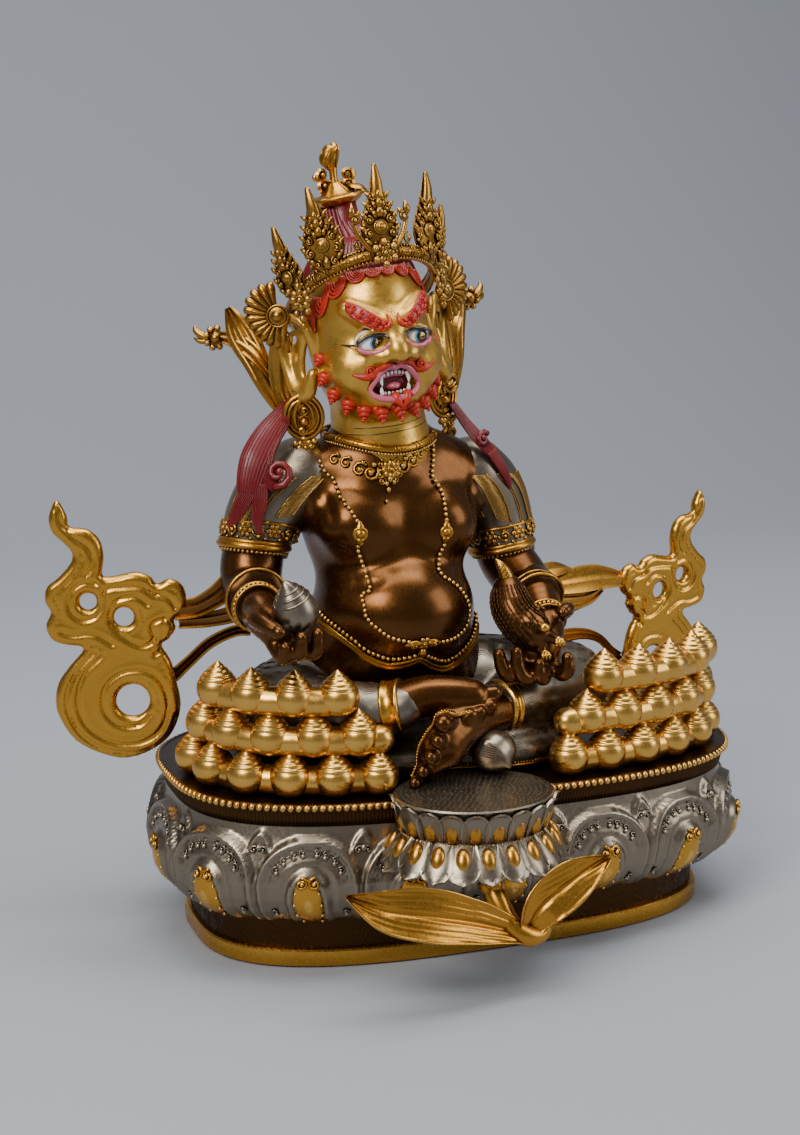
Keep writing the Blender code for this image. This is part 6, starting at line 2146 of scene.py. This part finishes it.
build_crown()
build_fans()
build_topknot()
build_earring("earring_right", (-42.6, -5.5, 290.8), (-0.30, -0.95, 0.0), (-1.0, 0, 0))
build_earring("earring_left", (41.0, 4.5, 287.6), (0.45, -0.89, 0.0), (1.5, 0, 0))


# The scarf between the arms and the scrolls

SCARF = cast_metal("brown copper scarf", (0.55, 0.29, 0.08), (0.19, 0.082, 0.022), (0.03, 0.010, 0.003),
    (0.22, 0.38), 0.006, (0.35, 0.8), 0.25)


def build_scarf():
    gold, dark = Soup(), Soup()

    def edged(points, widths, normal, soup):
        ribbon(soup, points, widths, normal, 1.8, 2, 1.1)
        line = smooth_path(np.column_stack([points, widths]), 6)
        along = np.gradient(line[:, :3], axis=0)
        n = unit(normal)
        side = np.array([unit(np.cross(a, n)) for a in along])
        for s in (-1, 1):
            gold.tube(line[:, :3] + side * (line[:, 3] * s * 0.5)[:, None] + n * 0.6, 0.75, 7, per=1)

    edged([(-118, -12, 195), (-124, -2, 197), (-133, 6, 188), (-142, 14, 181), (-152, 20, 179)],
        [17, 14, 11, 10, 11], (-0.2, -0.9, 0.5), dark)
    edged([(-117, -8, 184), (-127, 2, 178), (-137, 12, 174), (-150, 20, 172)], [10, 9, 8, 7], (-0.1, -0.8, 0.6), dark)
    edged([(-114, 6, 168), (-122, 10, 167), (-134, 16, 160), (-144, 20, 150), (-153, 23, 141)], [5, 5, 5, 5, 6],
        (-0.4, -0.9, 0.3), dark)
    ribbon(gold, [(44, 2, 192), (58, 2, 190), (70, 6, 190), (80, 10, 188)], [9, 10, 9, 3], (0.1, -0.7, 0.6), 1.8, 1,
        1.0)
    ribbon(gold, [(50, 0, 184), (66, 2, 182), (84, 8, 182), (102, 15, 181), (121, 22, 177)], [7, 12, 16, 15, 9],
        (0.15, -0.86, 0.45), 2.0, 1, 1.6)
    ribbon(gold, [(42, -12, 180), (58, -6, 175), (74, 0, 172), (90, 7, 171), (102, 12, 174)], [9, 12, 13, 9, 3],
        (0.1, -0.7, 0.7), 2.0, 2, 1.2)
    gold.tube([(44, -14, 175), (58, -8, 169.5), (74, -2, 166.5), (90, 5, 168)], [1.2, 1.4, 1.4, 0.8], 9)
    ribbon(gold, [(62, 6, 147), (76, 10, 148.5), (92, 15, 147.5), (104, 18, 143), (114, 22, 134), (122, 25, 128)],
        [8, 8, 7, 6, 6, 7], (0.1, -0.85, 0.5), 1.8, 2, 1.0)
    for name, soup, mat, slot, side in (("scarf_dark", dark, SCARF, "gilt", -1),
        ("scarf_gold", gold, OLD_GOLD, "gilt", 1)):
        finish_object(name, soup, mat, "scarf_scroll_right" if side < 0 else "scarf_scroll_left", 45)


build_scarf()


# Room, light and the closing lines

def plain(name, color, rough):
    n = Nodes(name)
    tint = n.mix(n.ramp(n.noise(1.2, 2), 0.3, 0.7, 0.0, 0.08), color, tuple(c * 0.9 for c in color))
    n.feed(n.shader.inputs["Base Color"], tint)
    n.shader.inputs["Roughness"].default_value = rough
    n.shader.inputs["Specular IOR Level"].default_value = 0.2
    return n.mat


def add_room():
    profile = [(-2.5, -0.0005), (1.0, -0.0005)]
    profile += [(1.0 + 1.2 * math.sin(a), 1.2 - 1.2 * math.cos(a) - 0.0005) for a in np.linspace(0.1, math.pi / 2, 14)]
    profile += [(2.2, 3.4)]
    verts = [(x, y, z) for y, z in profile for x in (-4.5, 4.5)]
    faces = [(2 * i, 2 * i + 1, 2 * i + 3, 2 * i + 2) for i in range(len(profile) - 1)]
    mesh = bpy.data.meshes.new("floor and backdrop")
    mesh.from_pydata(verts, [], faces)
    mesh.shade_smooth()
    mesh.materials.append(plain("grey studio paper", (0.30, 0.315, 0.345), 0.75))
    room = bpy.data.objects.new("floor_and_backdrop", mesh)
    bpy.context.scene.collection.objects.link(room)


def add_light(name, place, aim, size, power, color=(1, 1, 1)):
    data = bpy.data.lights.new(name, "AREA")
    data.shape = "RECTANGLE"
    data.size, data.size_y = size
    data.energy = power
    data.color = color
    light = bpy.data.objects.new(name, data)
    light.location = place
    light.rotation_euler = (Vector(aim) - Vector(place)).to_track_quat("-Z", "Y").to_euler()
    bpy.context.scene.collection.objects.link(light)


add_room()
add_light("key softbox", (-1.15, -0.95, 1.25), (-0.02, 0, 0.2), (0.8, 0.8), 30, (1.0, 0.98, 0.95))
add_light("fill softbox", (1.3, -0.9, 0.8), (0, 0, 0.2), (0.7, 1.1), 12, (0.95, 0.97, 1.0))
add_light("top softbox", (0.1, 0.2, 1.5), (0, 0, 0.2), (1.2, 0.8), 12)
add_light("backdrop wash", (0, -0.4, 2.6), (0, 1.8, 0.6), (2.5, 1.0), 55)
world = bpy.data.worlds.new("studio")
world.use_nodes = True
world.node_tree.nodes["Background"].inputs["Color"].default_value = (0.62, 0.65, 0.70, 1)
world.node_tree.nodes["Background"].inputs["Strength"].default_value = 0.36
bpy.context.scene.world = world
